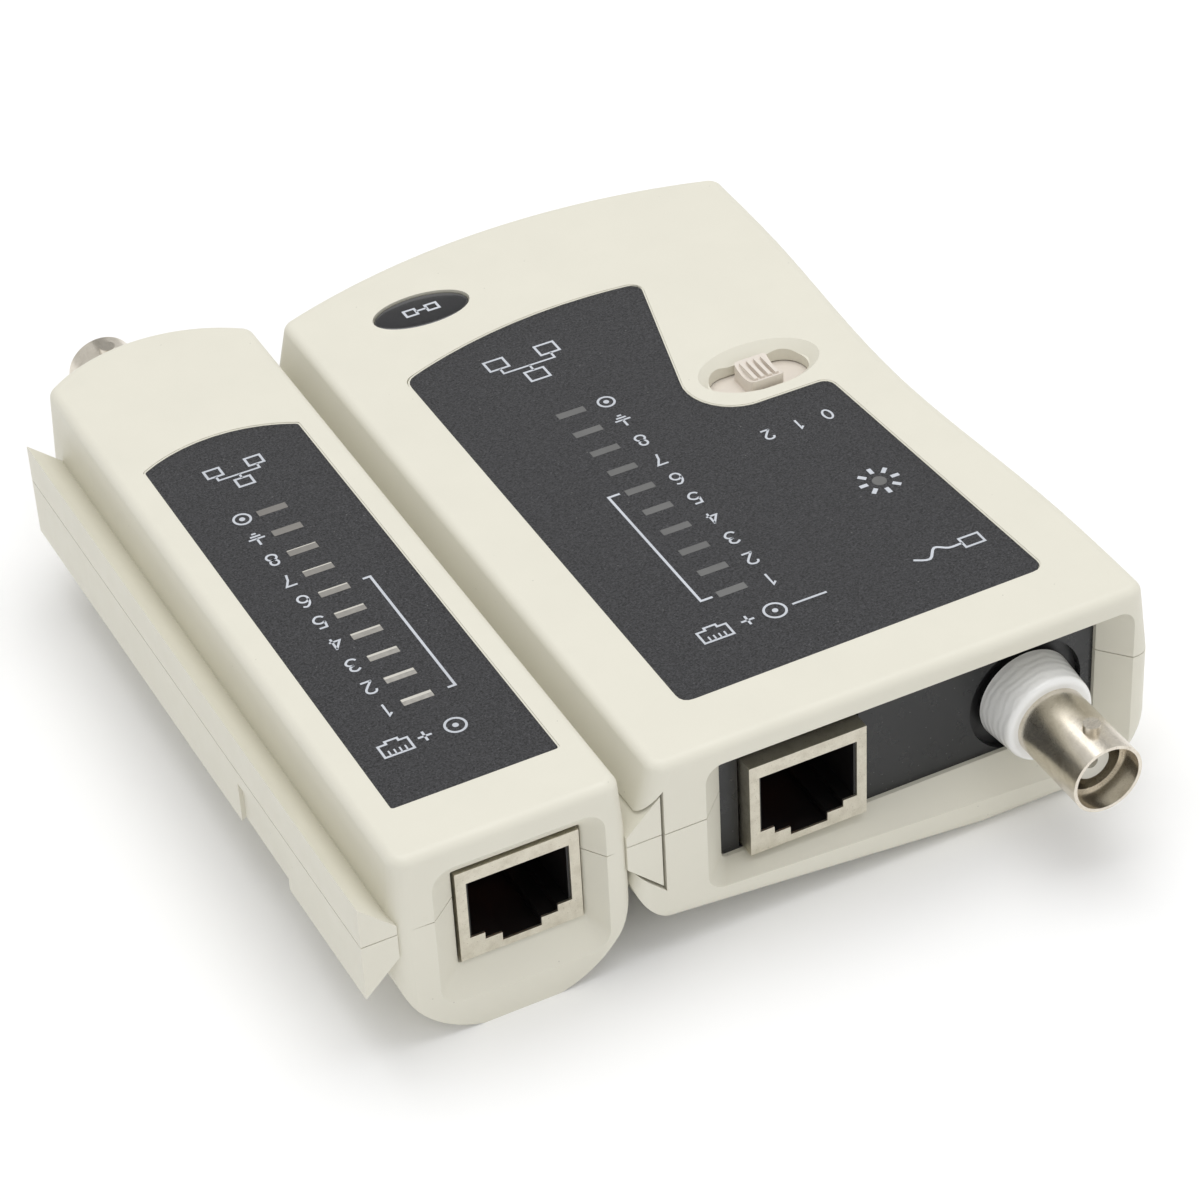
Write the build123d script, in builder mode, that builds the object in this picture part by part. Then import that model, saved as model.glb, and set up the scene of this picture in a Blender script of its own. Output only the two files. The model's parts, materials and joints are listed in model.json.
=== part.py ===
from build123d import *
import os

# Two-part network cable tester: a wide master unit and a narrow remote unit docked to its side.
# Frame: X across both units (remote at -X), connector end faces -Y, Z up from the resting surface.
# The origin is the bottom centre of the bounding box. All sizes are millimetres.

# ------------------------------------------------------------------ housings
BODY_H = 29.0  # thickness of both housings
PARTING_Z = 18.6  # height of the seam between top and bottom shells
SEAM_GAP = 0.14  # open seam left at the outer walls
TOP_WALL = 2.0
END_Y = -57.5  # connector end face of both housings
PANEL_Y = 53.25  # distance from centre to the plane behind each end wall
TOP_EDGE_R = 1.4
CORNER_R = 2.2

# Master outline (plan) and section
MASTER_LEFT = -18.6
MASTER_RIGHT_YS = (END_Y, -36.0, -3.0, 31.0, 52.0)  # stations along the waisted right side
MASTER_RIGHT_SEAM = (53.8, 53.4, 51.1, 52.9, 53.4)  # X of the right side at the seam
MASTER_RIGHT_TOP = (52.5, 52.2, 50.05, 52.1, 52.6)  # X of the right side at the top
MASTER_FAR_LEFT_Y = 48.6
MASTER_FAR_APEX = (22.5, 57.2)
SLOPE_START = (-11.5, 4.1)  # underside rises towards the remote from SLOPE_END to here
SLOPE_END = (30.0, 0.0)
FLAT_END_X = 44.4
BOTTOM_R = 9.0
FLOOR = 2.1  # thickness of the underside wall

# Remote outline (plan) and section, symmetrical about its own centre line
REMOTE_X = -34.0
REMOTE_TOP_HALF = 14.6
REMOTE_HALF = 15.4
REMOTE_FAR_APEX_Y = 57.0
REMOTE_FAR_CORNER_Y = 50.8

# Dovetail rails of the remote and the groove of the master
RAIL_Z = 17.45
RAIL_NECK_HALF = 3.05
RAIL_OUT_HALF = 6.95
RAIL_REACH = 4.0
FREE_RAIL_FAR_REACH = 4.4  # the outer rail widens and drops a little towards its far end
FREE_RAIL_FAR_DROP = 0.4
RAIL_ROOT = 0.6  # depth of the rails' roots inside the housing wall
RAIL_Y0 = END_Y + 0.2
RAIL_Y1 = 47.5
GROOVE_GAP = 0.35
DETENT_Y0 = -35.5  # shallow notch on the lower half of each rail
DETENT_Y1 = -21.2
DETENT_DEPTH = 0.4

# ------------------------------------------------------------------ face details
RECESS_DEPTH = 0.45
LABEL_T = 0.3
LABEL_GAP = 0.25
LED_PITCH = 4.816
LED_COUNT = 10
LED_W = 3.85
LED_D = 1.1
MASTER_LED = (8.84, -32.25)  # centre of the bar nearest the connectors
REMOTE_LED = (-33.36, -31.56)
POWER_LED = (35.7, -22.15)
POWER_LED_R = 0.9
SWITCH = (35.0, 7.9)
SWITCH_DISH = (8.7, 5.3)  # half axes of the finger dish
SWITCH_DISH_FLOOR = (7.4, 3.7)
SWITCH_SLOT = (14.2, 6.8)  # overall length and width of the hole that the knob moves in
DISH_DEPTH = 1.4
KNOB = (4.8, 5.4)
KNOB_TOP = 28.8
KNOB_RIB_H = 0.2
KNOB_RIB_COUNT = 4
KNOB_RIB_PITCH = 1.05
KNOB_FLANGE_Z = 25.2
KNOB_FLANGE_T = 0.8
STEM = 2.5
STEM_TOP = 26.6
STEM_FOOT = 19.0
LED_BASE_TOP = 26.6
LED_TOP = 28.72
BADGE = (2.2, 42.9)
BADGE_HALF = (6.9, 3.6)

# ------------------------------------------------------------------ connectors
JACK_W = 16.05
JACK_H = 13.6
JACK_TOP = 21.95
JACK_DEPTH = 18.0
SHEET = 0.3
MASTER_JACK = (6.08, -55.75)  # centre X and face Y
REMOTE_JACK = (-32.24, -55.0)
BNC_RIM = 71.75  # distance of each BNC rim from the centre plane
BNC_R = 4.815
BNC_BORE_R = 4.35  # front of the bore
BNC_DEEP_BORE_R = 3.9  # bore around the core
BNC_THREAD_R = 4.6
BNC_TAIL = 7.0
BARREL_START = 6.0  # distances along the axis from the plane behind the end wall
BARREL_FLOOR = 8.5
DIELECTRIC_R = 2.4
DIELECTRIC_FRONT = 15.0
PIN_R = 0.8
PIN_TAIL = 2.5
PIN_INSET = 2.0  # from the front of the core back to the front of the contact
PIN_HOLE_R = 0.5
PIN_HOLE_DEPTH = 5.0
STUD_R = 1.1
STUD_BACK = 3.95
STUD_REACH = 5.85
COLLAR_R = 6.55
COLLAR_TIP_R = 6.05
COLLAR_ROUND = 0.8
PANEL_T = 1.2
PANEL_HOLE_R = 8.0
WASHER_R = 8.6
WASHER_T = 1.4
NUT_R = 6.4
NUT_T = 2.4
SOCKET_W = 13.35
SOCKET_TOP = 1.9
SOCKET_LOW = 3.2
STEP_1 = 4.75  # half widths and depths of the two steps under the socket
STEP_1_H = 1.0
STEP_2 = 2.55
STEP_2_H = 1.2
CAVITY_DEPTH = 12.5
CONTACT_PITCH = 1.02
CONTACT_W = 0.45
MASTER_BNC = (38.16, 15.04)
REMOTE_BNC = (-34.7, 15.5)

# ------------------------------------------------------------------ insides
BOARD_T = 1.6
BOARD_TOP = JACK_TOP + BOARD_T

# Posts that take the screws, pegs that rest on the boards, and the screws
MASTER_POSTS = [(-8.6, -44.0), (45.1, -44.0), (-8.6, 14.0), (44.6, 46.8)]
REMOTE_POSTS = [(-44.3, -33.0), (-23.7, -33.0), (-44.3, 40.0), (-23.7, 40.0)]
POST_R = 2.8
MASTER_PEGS = [(0.5, -30.0), (20.0, -42.0), (-1.5, 9.5), (19.0, 9.5)]
REMOTE_PEGS = [(-39.5, -28.0), (-28.6, -28.0), (-39.5, 38.0), (-28.6, 38.0)]
PEG_R = 1.5
SCREW_R = 1.2
HEAD_R = 2.1
HEAD_T = 1.7
HEAD_Z = 9.0  # underside of the wall that the screw heads pull on

# Battery, its snap and door
BATTERY_MIN = (-9.0, 18.5, 6.0)
BATTERY_SIZE = (46.5, 26.5, 17.5)
TERMINAL_HALF = 6.35  # half the distance between the terminals
TERMINAL_R = (2.9, 4.0)
TERMINAL_H = 2.0
SNAP_T = 4.0
SNAP_H = 12.4
DOOR_X0 = -9.6
DOOR_X1 = 42.5
DOOR_Y0 = 17.6
DOOR_T = 1.8
DOOR_GAP = 0.2
DOOR_TONGUE = 0.9  # reach of the guide along each side of the door
DOOR_TONGUE_END = 44.0
TONGUE_Z = 1.05  # height of the guides above the outer face
GRIP_COUNT = 5  # thumb grooves across the door
GRIP_Y = 40.0
GRIP_PITCH = 2.0
GRIP_X0 = 8.0
GRIP_X1 = 22.0

# Battery wires: corner points and the radius of the bend at each inner corner
WIRE_R = 0.65
RED_ROUTE = [(39.9, 19.0, 13.0), (39.9, 9.0, 13.0), (38.4, -3.0, 13.6), (37.4, -9.0, 16.6),
             (37.4, -9.0, JACK_TOP)]
RED_RADII = [24.0, 10.0, 3.6]
BLACK_ROUTE = [(39.9, 19.0, 16.0), (39.9, 11.0, 16.0), (40.6, 0.0, 15.0), (40.7, -5.0, 17.0),
               (40.7, -5.0, JACK_TOP)]
BLACK_RADII = [20.0, 7.0, 3.2]

# Components under the boards
CAPACITORS = [(36.5, -34.0), (36.5, -20.0)]
COUNTER_CHIP = (26.0, -24.0)
TIMER_CHIP = (20.0, -1.0)
CHIP_W = 6.4
CHIP_T = 3.3
CHIP_BOTTOM = 17.9
PIN_PITCH = 2.54
LEG_T = 0.3
AXIAL_Z = 20.4
LEAD_W = 0.5
REMOTE_SOCKET_HOLE = [(-40.6, 22.3), (-23.9, 22.3), (-23.9, 8.0), (-40.6, 8.0)]

os.makedirs("parts", exist_ok=True)


def slope_z(x):
    """Height of the master's underside at x."""
    x0, z0 = SLOPE_START
    x1, z1 = SLOPE_END
    return max(0.0, z0 + (z1 - z0) * (x - x0) / (x1 - x0))


def led_places(first):
    """Centres of the bar LEDs in a column that starts at first."""
    return [(first[0], first[1] + LED_PITCH * i) for i in range(LED_COUNT)]


def rail_half(reach):
    """Half height of the dovetail at a distance out from the housing side."""
    return RAIL_NECK_HALF + (RAIL_OUT_HALF - RAIL_NECK_HALF) * reach / RAIL_REACH


# ------------------------------------------------------------------ master envelope
def master_plan(rights, z):
    """Face with the master's outline at height z, from the X of its right side at each station."""
    right_points = list(zip(rights, MASTER_RIGHT_YS))
    near_right, far_right = right_points[0], right_points[-1]
    with BuildSketch() as plan:
        with BuildLine():
            Line((MASTER_LEFT, END_Y), near_right)
            Spline(*right_points, tangents=[(0, 1), (0, 1)])
            ThreePointArc(far_right, MASTER_FAR_APEX, (MASTER_LEFT, MASTER_FAR_LEFT_Y))
            Line((MASTER_LEFT, MASTER_FAR_LEFT_Y), (MASTER_LEFT, END_Y))
        make_face()
    return Pos(0, 0, z) * plan.face()


with BuildPart() as master_envelope:
    extrude(master_plan(MASTER_RIGHT_SEAM, 0), amount=PARTING_Z)
    loft([master_plan(MASTER_RIGHT_SEAM, PARTING_Z), master_plan(MASTER_RIGHT_TOP, BODY_H)])
    # The section gives the left wall its draft, the lower left its big round and the underside its slope.
    with BuildSketch(Plane.XZ.offset(-70)):
        with BuildLine():
            Polyline((60, 0), (60, BODY_H), (-15.3, BODY_H), (-17.3, 22.3), (-18.2, 13.5), (-18.5, 11.8))
            ThreePointArc((-18.5, 11.8), (-16.3, 7.2), SLOPE_START)
            Polyline(SLOPE_START, SLOPE_END, (60, 0))
        make_face()
    extrude(amount=140, mode=Mode.INTERSECT)
    lower_right = master_envelope.edges().filter_by_position(Axis.Z, -0.01, 0.01).sort_by(Axis.X)[-1]
    fillet(lower_right, radius=BOTTOM_R)
    corners = [e for e in master_envelope.edges() if abs((e % 0.5).Z) > 0.9]
    fillet(corners, radius=CORNER_R)
    fillet(master_envelope.faces().sort_by(Axis.Z)[-1].edges(), radius=TOP_EDGE_R)


with BuildPart() as master_cavity:
    with BuildSketch(Plane.XY):
        with BuildLine():
            Polyline((-11.8, 47.6), (-11.8, -PANEL_Y), (48.4, -PANEL_Y), (48.4, 50.6))
            ThreePointArc((48.4, 50.6), (22.5, 54.8), (-11.8, 47.6))
        make_face()
    extrude(amount=BODY_H - TOP_WALL)
    with BuildSketch(Plane.XZ.offset(-70)):
        with BuildLine():
            Polyline((-11.8, BODY_H), (-11.8, 8.4), (-9.6, slope_z(-9.6) + FLOOR), (30, FLOOR),
                     (43.6, FLOOR), (48.4, 7.2), (48.4, BODY_H), close=True)
        make_face()
    extrude(amount=140, mode=Mode.INTERSECT)

with BuildPart() as master_mouth:
    # Flared opening around the sockets: wide and sloped at the end face, square at the panel.
    with BuildSketch(Plane.XZ.offset(-END_Y + 0.02)):
        with BuildLine():
            FilletPolyline((-8.7, 26.1), (51.0, 26.1), (51.0, 3.3), (-8.7, 7.0), radius=2.4, close=True)
        make_face()
    with BuildSketch(Plane.XZ.offset(PANEL_Y + 0.6)):
        with BuildLine():
            FilletPolyline((-5.0, 25.7), (47.8, 25.7), (47.8, 7.8), (-5.0, 7.8), radius=0.8, close=True)
        make_face()
    loft()
    with BuildSketch(Plane.XZ.offset(PANEL_Y - 0.5)):
        with BuildLine():
            FilletPolyline((-5.0, 25.7), (47.8, 25.7), (47.8, 7.8), (-5.0, 7.8), radius=0.8, close=True)
        make_face()
    extrude(amount=1.2)

with BuildPart() as groove:
    groove_wall_x = MASTER_LEFT + RAIL_REACH + GROOVE_GAP
    groove_mouth_x = MASTER_LEFT - 0.4
    groove_half = rail_half(RAIL_REACH + GROOVE_GAP) + 0.5
    mouth_half = rail_half(-0.4) + 0.5
    with BuildSketch(Plane.XZ.offset(-RAIL_Y1 - 0.4)):
        with BuildLine():
            Polyline((groove_wall_x, RAIL_Z + groove_half), (groove_wall_x, RAIL_Z - groove_half),
                     (groove_mouth_x, RAIL_Z - mouth_half), (groove_mouth_x, RAIL_Z + mouth_half), close=True)
        make_face()
    extrude(amount=RAIL_Y1 + 0.4 - END_Y + 1)

with BuildPart() as master_pillars:
    with BuildSketch(Plane.XY):
        with Locations(MASTER_POSTS):
            Circle(POST_R)
    extrude(amount=PARTING_Z)
    add(master_envelope.part, mode=Mode.INTERSECT)

# Label shape: a notch beside the switch, a curved far edge and small corners.
with BuildSketch() as master_label_shape:
    with BuildLine():
        Polyline((-6.7, 28.6), (-6.7, -48.4), (43.9, -47.9), (41.4, 0.6), (31.5, 0.6))
        ThreePointArc((31.5, 0.6), (25.4, 3.2), (24.2, 9.8))
        Line((24.2, 9.8), (30.6, 33.4))
        ThreePointArc((30.6, 33.4), (12.0, 33.7), (-6.7, 28.6))
    make_face()
    fillet([v for v in master_label_shape.vertices() if v.X < 0 or v.X > 40 or v.Y > 30], radius=1.7)

with BuildSketch() as remote_label_shape:
    with BuildLine():
        Polyline((-44.5, 27.2), (-44.5, -48.3), (-23.0, -48.3), (-23.0, 27.2))
        ThreePointArc((-23.0, 27.2), (-34.0, 30.2), (-44.5, 27.2))
    make_face()
    fillet(remote_label_shape.vertices(), radius=0.4)


def windows(first, margin):
    """Rectangles of the bar LEDs in the sketch that is open."""
    with Locations(led_places(first)):
        Rectangle(LED_W + margin, LED_D + margin)


# ------------------------------------------------------------------ master shells
with BuildPart() as master_top_shell:
    add(master_envelope.part)
    split(bisect_by=Plane.XY.offset(PARTING_Z), keep=Keep.TOP)
    add(master_cavity.part, mode=Mode.SUBTRACT)
    # Pad that deepens the wall under the switch dish.
    with BuildSketch(Plane.XY.offset(BODY_H - TOP_WALL + 0.1)):
        with Locations(SWITCH):
            Ellipse(SWITCH_DISH[0] + 1.4, SWITCH_DISH[1] + 1.0)
    extrude(amount=-0.9)
    # Posts for the screws, and pegs that hold the board at its height.
    with BuildSketch(Plane.XY.offset(PARTING_Z)):
        with Locations(MASTER_POSTS):
            Circle(POST_R)
    extrude(amount=BODY_H - TOP_WALL + 0.2 - PARTING_Z)
    with BuildSketch(Plane.XY.offset(BOARD_TOP)):
        with Locations(MASTER_PEGS):
            Circle(PEG_R)
    extrude(amount=BODY_H - TOP_WALL + 0.2 - BOARD_TOP)
    add(master_mouth.part, mode=Mode.SUBTRACT)
    add(groove.part, mode=Mode.SUBTRACT)
    with BuildSketch(Plane.XY.offset(BODY_H)):
        offset(master_label_shape.sketch, amount=LABEL_GAP)
    extrude(amount=-RECESS_DEPTH, mode=Mode.SUBTRACT)
    with BuildSketch(Plane.XY.offset(BODY_H)):
        with Locations(BADGE):
            Ellipse(BADGE_HALF[0] + 0.15, BADGE_HALF[1] + 0.15)
    extrude(amount=-0.6, mode=Mode.SUBTRACT)
    with BuildSketch(Plane.XY.offset(BODY_H)):
        with Locations(SWITCH):
            Ellipse(*SWITCH_DISH)
    with BuildSketch(Plane.XY.offset(BODY_H - DISH_DEPTH)):
        with Locations(SWITCH):
            Ellipse(*SWITCH_DISH_FLOOR)
    loft(mode=Mode.SUBTRACT)
    with BuildSketch(Plane.XY.offset(BODY_H)):
        with Locations(SWITCH):
            SlotOverall(*SWITCH_SLOT)
        with Locations(POWER_LED):
            Circle(POWER_LED_R + 0.15)
        windows(MASTER_LED, 0.3)
    extrude(amount=-4, mode=Mode.SUBTRACT)
    with BuildSketch(Plane.XY.offset(PARTING_Z)):
        with Locations(MASTER_POSTS):
            Circle(SCREW_R + 0.02)
    extrude(amount=6, mode=Mode.SUBTRACT)
master_top_shell.part.label = "master_top_shell"
export_step(master_top_shell.part, "parts/master_top_shell.step")

with BuildPart() as battery_hatch:
    # Hole in the underside for the door, with a slot along each side for the door's tongues.
    with BuildSketch(Plane.XZ.offset(-70)):
        with BuildLine():
            Polyline((DOOR_X0 - DOOR_GAP, -2), (DOOR_X1 + DOOR_GAP, -2), (DOOR_X1 + DOOR_GAP, FLOOR + 0.05),
                     (SLOPE_END[0], FLOOR + 0.05), (DOOR_X0 - DOOR_GAP, slope_z(DOOR_X0) + FLOOR + 0.05),
                     close=True)
        make_face()
        with Locations((DOOR_X0 - 0.5, slope_z(DOOR_X0) + TONGUE_Z), (DOOR_X1 + 0.5, TONGUE_Z)):
            Rectangle(2 * DOOR_TONGUE + 0.2, 1.0)
    extrude(amount=70 - DOOR_Y0 + DOOR_GAP)

with BuildPart() as master_bottom_shell:
    add(master_envelope.part)
    split(bisect_by=Plane.XY.offset(PARTING_Z - SEAM_GAP), keep=Keep.BOTTOM)
    add(master_cavity.part, mode=Mode.SUBTRACT)
    add(master_pillars.part)
    add(master_mouth.part, mode=Mode.SUBTRACT)
    add(groove.part, mode=Mode.SUBTRACT)
    add(battery_hatch.part, mode=Mode.SUBTRACT)
    with BuildSketch(Plane.XY.offset(-1)):
        with Locations(MASTER_POSTS):
            Circle(HEAD_R + 0.25)
    extrude(amount=HEAD_Z + 1, mode=Mode.SUBTRACT)
    with BuildSketch(Plane.XY.offset(HEAD_Z)):
        with Locations(MASTER_POSTS):
            Circle(SCREW_R + 0.2)
    extrude(amount=PARTING_Z, mode=Mode.SUBTRACT)
master_bottom_shell.part.label = "master_bottom_shell"
export_step(master_bottom_shell.part, "parts/master_bottom_shell.step")

# ------------------------------------------------------------------ battery door
with BuildPart() as battery_door:
    with BuildSketch(Plane.XZ.offset(-70)):
        with BuildLine():
            Polyline((DOOR_X0, -2), (DOOR_X1, -2), (DOOR_X1, DOOR_T), (SLOPE_END[0], DOOR_T),
                     (DOOR_X0, slope_z(DOOR_X0) + DOOR_T), close=True)
        make_face()
    extrude(amount=70 - DOOR_Y0)
    add(master_envelope.part, mode=Mode.INTERSECT)
    with BuildSketch(Plane.XZ.offset(-DOOR_TONGUE_END)):
        with Locations((DOOR_X0 - 0.3, slope_z(DOOR_X0) + TONGUE_Z), (DOOR_X1 + 0.3, TONGUE_Z)):
            Rectangle(2 * DOOR_TONGUE - 0.4, 0.7)
    extrude(amount=DOOR_TONGUE_END - DOOR_Y0 - 0.5)
    # Thumb grooves near the far end.
    for i in range(GRIP_COUNT):
        with BuildSketch(Plane.XZ.offset(-(GRIP_Y + GRIP_PITCH * i))):
            with BuildLine():
                Polyline((GRIP_X0, -1), (GRIP_X1, -1), (GRIP_X1, slope_z(GRIP_X1) + 0.5),
                         (GRIP_X0, slope_z(GRIP_X0) + 0.5), close=True)
            make_face()
        extrude(amount=0.8, mode=Mode.SUBTRACT)
battery_door.part.label = "battery_door"
export_step(battery_door.part, "parts/battery_door.step")

# ------------------------------------------------------------------ master face
with BuildPart() as master_label:
    with BuildSketch(Plane.XY.offset(BODY_H - RECESS_DEPTH)):
        add(master_label_shape.sketch)
        with BuildSketch(mode=Mode.PRIVATE) as label_holes:
            windows(MASTER_LED, 0.16)
            with Locations(POWER_LED):
                Circle(POWER_LED_R + 0.08)
        add(label_holes.sketch, mode=Mode.SUBTRACT)
    extrude(amount=LABEL_T)
master_label.part.label = "master_label"
export_step(master_label.part, "parts/master_label.step")

with BuildPart() as badge:
    with BuildSketch(Plane.XY.offset(BODY_H - 0.6)):
        with Locations(BADGE):
            Ellipse(*BADGE_HALF)
    extrude(amount=0.58)
    fillet(badge.edges().group_by(Axis.Z)[-1], radius=0.4)
badge.part.label = "badge"
export_step(badge.part, "parts/badge.step")


def bar_leds(first):
    """Column of bar LEDs, each a base on the board and a narrow bar that reaches the label."""
    with BuildPart() as leds:
        with BuildSketch(Plane.XY.offset(BOARD_TOP)):
            with Locations(led_places(first)):
                Rectangle(5.0, 2.6)
        extrude(amount=LED_BASE_TOP - BOARD_TOP)
        with BuildSketch(Plane.XY.offset(LED_BASE_TOP)):
            windows(first, 0)
        extrude(amount=LED_TOP - LED_BASE_TOP)
    return leds.part


master_leds = bar_leds(MASTER_LED)
master_leds.label = "master_leds"
export_step(master_leds, "parts/master_leds.step")

with BuildPart() as power_led:
    with BuildSketch(Plane.XY.offset(BOARD_TOP)):
        with Locations(POWER_LED):
            Circle(1.5)
    extrude(amount=LED_BASE_TOP - BOARD_TOP)
    with BuildSketch(Plane.XY.offset(LED_BASE_TOP)):
        with Locations(POWER_LED):
            Circle(POWER_LED_R)
    extrude(amount=LED_TOP - LED_BASE_TOP)
    fillet(power_led.edges().group_by(Axis.Z)[-1], radius=0.3)
power_led.part.label = "power_led"
export_step(power_led.part, "parts/power_led.step")

# ------------------------------------------------------------------ power switch
with BuildPart() as switch_knob:
    with BuildSketch(Plane.XY.offset(KNOB_FLANGE_Z)):
        with Locations(SWITCH):
            RectangleRounded(19.0, 8.4, 1.5)
    extrude(amount=KNOB_FLANGE_T)
    with BuildSketch(Plane.XY.offset(KNOB_FLANGE_Z)):
        with Locations(SWITCH):
            RectangleRounded(*KNOB, 0.5)
    extrude(amount=KNOB_TOP - KNOB_RIB_H - KNOB_FLANGE_Z)
    # Finger hollow across the top, with ribs that stand in it.
    with BuildSketch(Plane.YZ.offset(SWITCH[0] - KNOB[0])):
        with Locations((SWITCH[1], KNOB_TOP + 4.2)):
            Circle(5.1)
    extrude(amount=2 * KNOB[0], mode=Mode.SUBTRACT)
    with BuildSketch(Plane.XY.offset(KNOB_TOP - 1.6)):
        with Locations(SWITCH):
            with GridLocations(KNOB_RIB_PITCH, 1, KNOB_RIB_COUNT, 1):
                Rectangle(0.5, KNOB[1] - 1.2)
    extrude(amount=1.5)
    with BuildSketch(Plane.XY.offset(KNOB_FLANGE_Z)):
        with Locations(SWITCH):
            Rectangle(STEM + 0.1, STEM + 0.1)
    extrude(amount=STEM_TOP + 0.1 - KNOB_FLANGE_Z, mode=Mode.SUBTRACT)
switch_knob.part.label = "switch_knob"
export_step(switch_knob.part, "parts/switch_knob.step")

with BuildPart() as switch_stem:
    with BuildSketch(Plane.XY.offset(STEM_FOOT)):
        with Locations(SWITCH):
            Rectangle(STEM, STEM)
    extrude(amount=STEM_TOP - STEM_FOOT)
switch_stem.part.label = "switch_stem"
export_step(switch_stem.part, "parts/switch_stem.step")

with BuildPart() as switch_body:
    with BuildSketch(Plane.XY.offset(JACK_TOP)):
        with Locations(SWITCH):
            Rectangle(14.0, 6.6)
    extrude(amount=-4.4)
    with BuildSketch(Plane.XY.offset(JACK_TOP)):
        with Locations(SWITCH):
            Rectangle(8.0, STEM + 0.5)
    extrude(amount=STEM_FOOT - 0.2 - JACK_TOP, mode=Mode.SUBTRACT)
    chamfer(switch_body.edges().filter_by(Axis.Z).group_by(Axis.X)[0], length=0.4)
    chamfer(switch_body.edges().filter_by(Axis.Z).group_by(Axis.X)[-1], length=0.4)
switch_body.part.label = "switch_body"
export_step(switch_body.part, "parts/switch_body.step")

# ------------------------------------------------------------------ end panel
with BuildPart() as end_panel:
    with BuildSketch(Plane.XZ.offset(PANEL_Y - PANEL_T)):
        with BuildLine():
            Polyline((-11.4, 26.8), (48.0, 26.8), (48.0, 8.6), (44.5, 5.0), (-8.5, 6.6), (-11.4, 9.2),
                     close=True)
        make_face()
        with Locations((MASTER_JACK[0], JACK_TOP - JACK_H / 2)):
            Rectangle(JACK_W + 0.6, JACK_H + 0.6, mode=Mode.SUBTRACT)
        with Locations(MASTER_BNC):
            Circle(PANEL_HOLE_R, mode=Mode.SUBTRACT)
    extrude(amount=PANEL_T)
end_panel.part.label = "end_panel"
export_step(end_panel.part, "parts/end_panel.step")


# ------------------------------------------------------------------ RJ45 sockets
def socket_outline(grow):
    """Stepped socket outline in the XZ plane, about the top centre of the socket's metal face."""
    half = SOCKET_W / 2 + grow
    low = JACK_H - SOCKET_LOW
    return [(-half, -SOCKET_TOP - grow), (half, -SOCKET_TOP - grow), (half, -low), (STEP_1, -low),
            (STEP_1, -low - STEP_1_H), (STEP_2, -low - STEP_1_H), (STEP_2, -low - STEP_1_H - STEP_2_H),
            (-STEP_2, -low - STEP_1_H - STEP_2_H), (-STEP_2, -low - STEP_1_H), (-STEP_1, -low - STEP_1_H),
            (-STEP_1, -low), (-half, -low)]


def jack_shield(place):
    """Folded metal shield: four thin walls and a front plate with the stepped opening."""
    x, face_y = place
    with BuildPart() as shield:
        with BuildSketch(Plane.XZ.offset(-face_y)):
            with Locations((x, JACK_TOP - JACK_H / 2)):
                Rectangle(JACK_W, JACK_H)
        extrude(amount=-JACK_DEPTH)
        with BuildSketch(Plane.XZ.offset(-face_y - SHEET)):
            with Locations((x, JACK_TOP - JACK_H / 2)):
                Rectangle(JACK_W - 2 * SHEET, JACK_H - 2 * SHEET)
        extrude(amount=-JACK_DEPTH, mode=Mode.SUBTRACT)
        with BuildSketch(Plane.XZ.offset(-face_y)):
            with BuildLine():
                Polyline(*[(x + px, JACK_TOP + pz) for px, pz in socket_outline(0)], close=True)
            make_face()
        extrude(amount=-1, mode=Mode.SUBTRACT)
    return shield.part


def jack_insert(place):
    """Plastic block that fills the shield, with the plug cavity."""
    x, face_y = place
    with BuildPart() as insert:
        with BuildSketch(Plane.XZ.offset(-face_y - SHEET)):
            with Locations((x, JACK_TOP - JACK_H / 2)):
                Rectangle(JACK_W - 2 * SHEET - 0.1, JACK_H - 2 * SHEET - 0.1)
        extrude(amount=-(JACK_DEPTH - SHEET))
        with BuildSketch(Plane.XZ.offset(-face_y)):
            with BuildLine():
                Polyline(*[(x + px, JACK_TOP + pz) for px, pz in socket_outline(-0.3)], close=True)
            make_face()
        extrude(amount=-CAVITY_DEPTH, mode=Mode.SUBTRACT)
    return insert.part


def jack_contacts(place):
    """Eight sprung wires that hang from the cavity's roof and lean back into it."""
    x, face_y = place
    roof = JACK_TOP - SOCKET_TOP - 0.35
    back = face_y + CAVITY_DEPTH
    with BuildPart() as contacts:
        for i in range(8):
            with BuildSketch(Plane.YZ.offset(x + CONTACT_PITCH * (i - 3.5) - CONTACT_W / 2)):
                with BuildLine():
                    Polyline((face_y + 2.2, roof), (back, roof), (back, roof - 0.3),
                             (face_y + 3.2, roof - 0.3), (face_y + 9.4, roof - 3.0),
                             (face_y + 9.2, roof - 3.35), (face_y + 2.2, roof - 0.4), close=True)
                make_face()
            extrude(amount=CONTACT_W)
    return contacts.part


# ------------------------------------------------------------------ BNC sockets
def bnc_plane(place, side):
    """Plane behind the end wall at a BNC axis; side -1 faces -Y and +1 faces +Y."""
    return Plane(origin=(place[0], side * PANEL_Y, place[1]), x_dir=(1, 0, 0), z_dir=(0, side, 0))


def ring(plane, start, end, outer, inner):
    """Tube along the plane's normal between two distances, added to the open part."""
    with BuildSketch(plane.offset(start)) as section:
        Circle(outer)
        Circle(inner, mode=Mode.SUBTRACT)
    extrude(section.sketch, amount=end - start)


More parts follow.
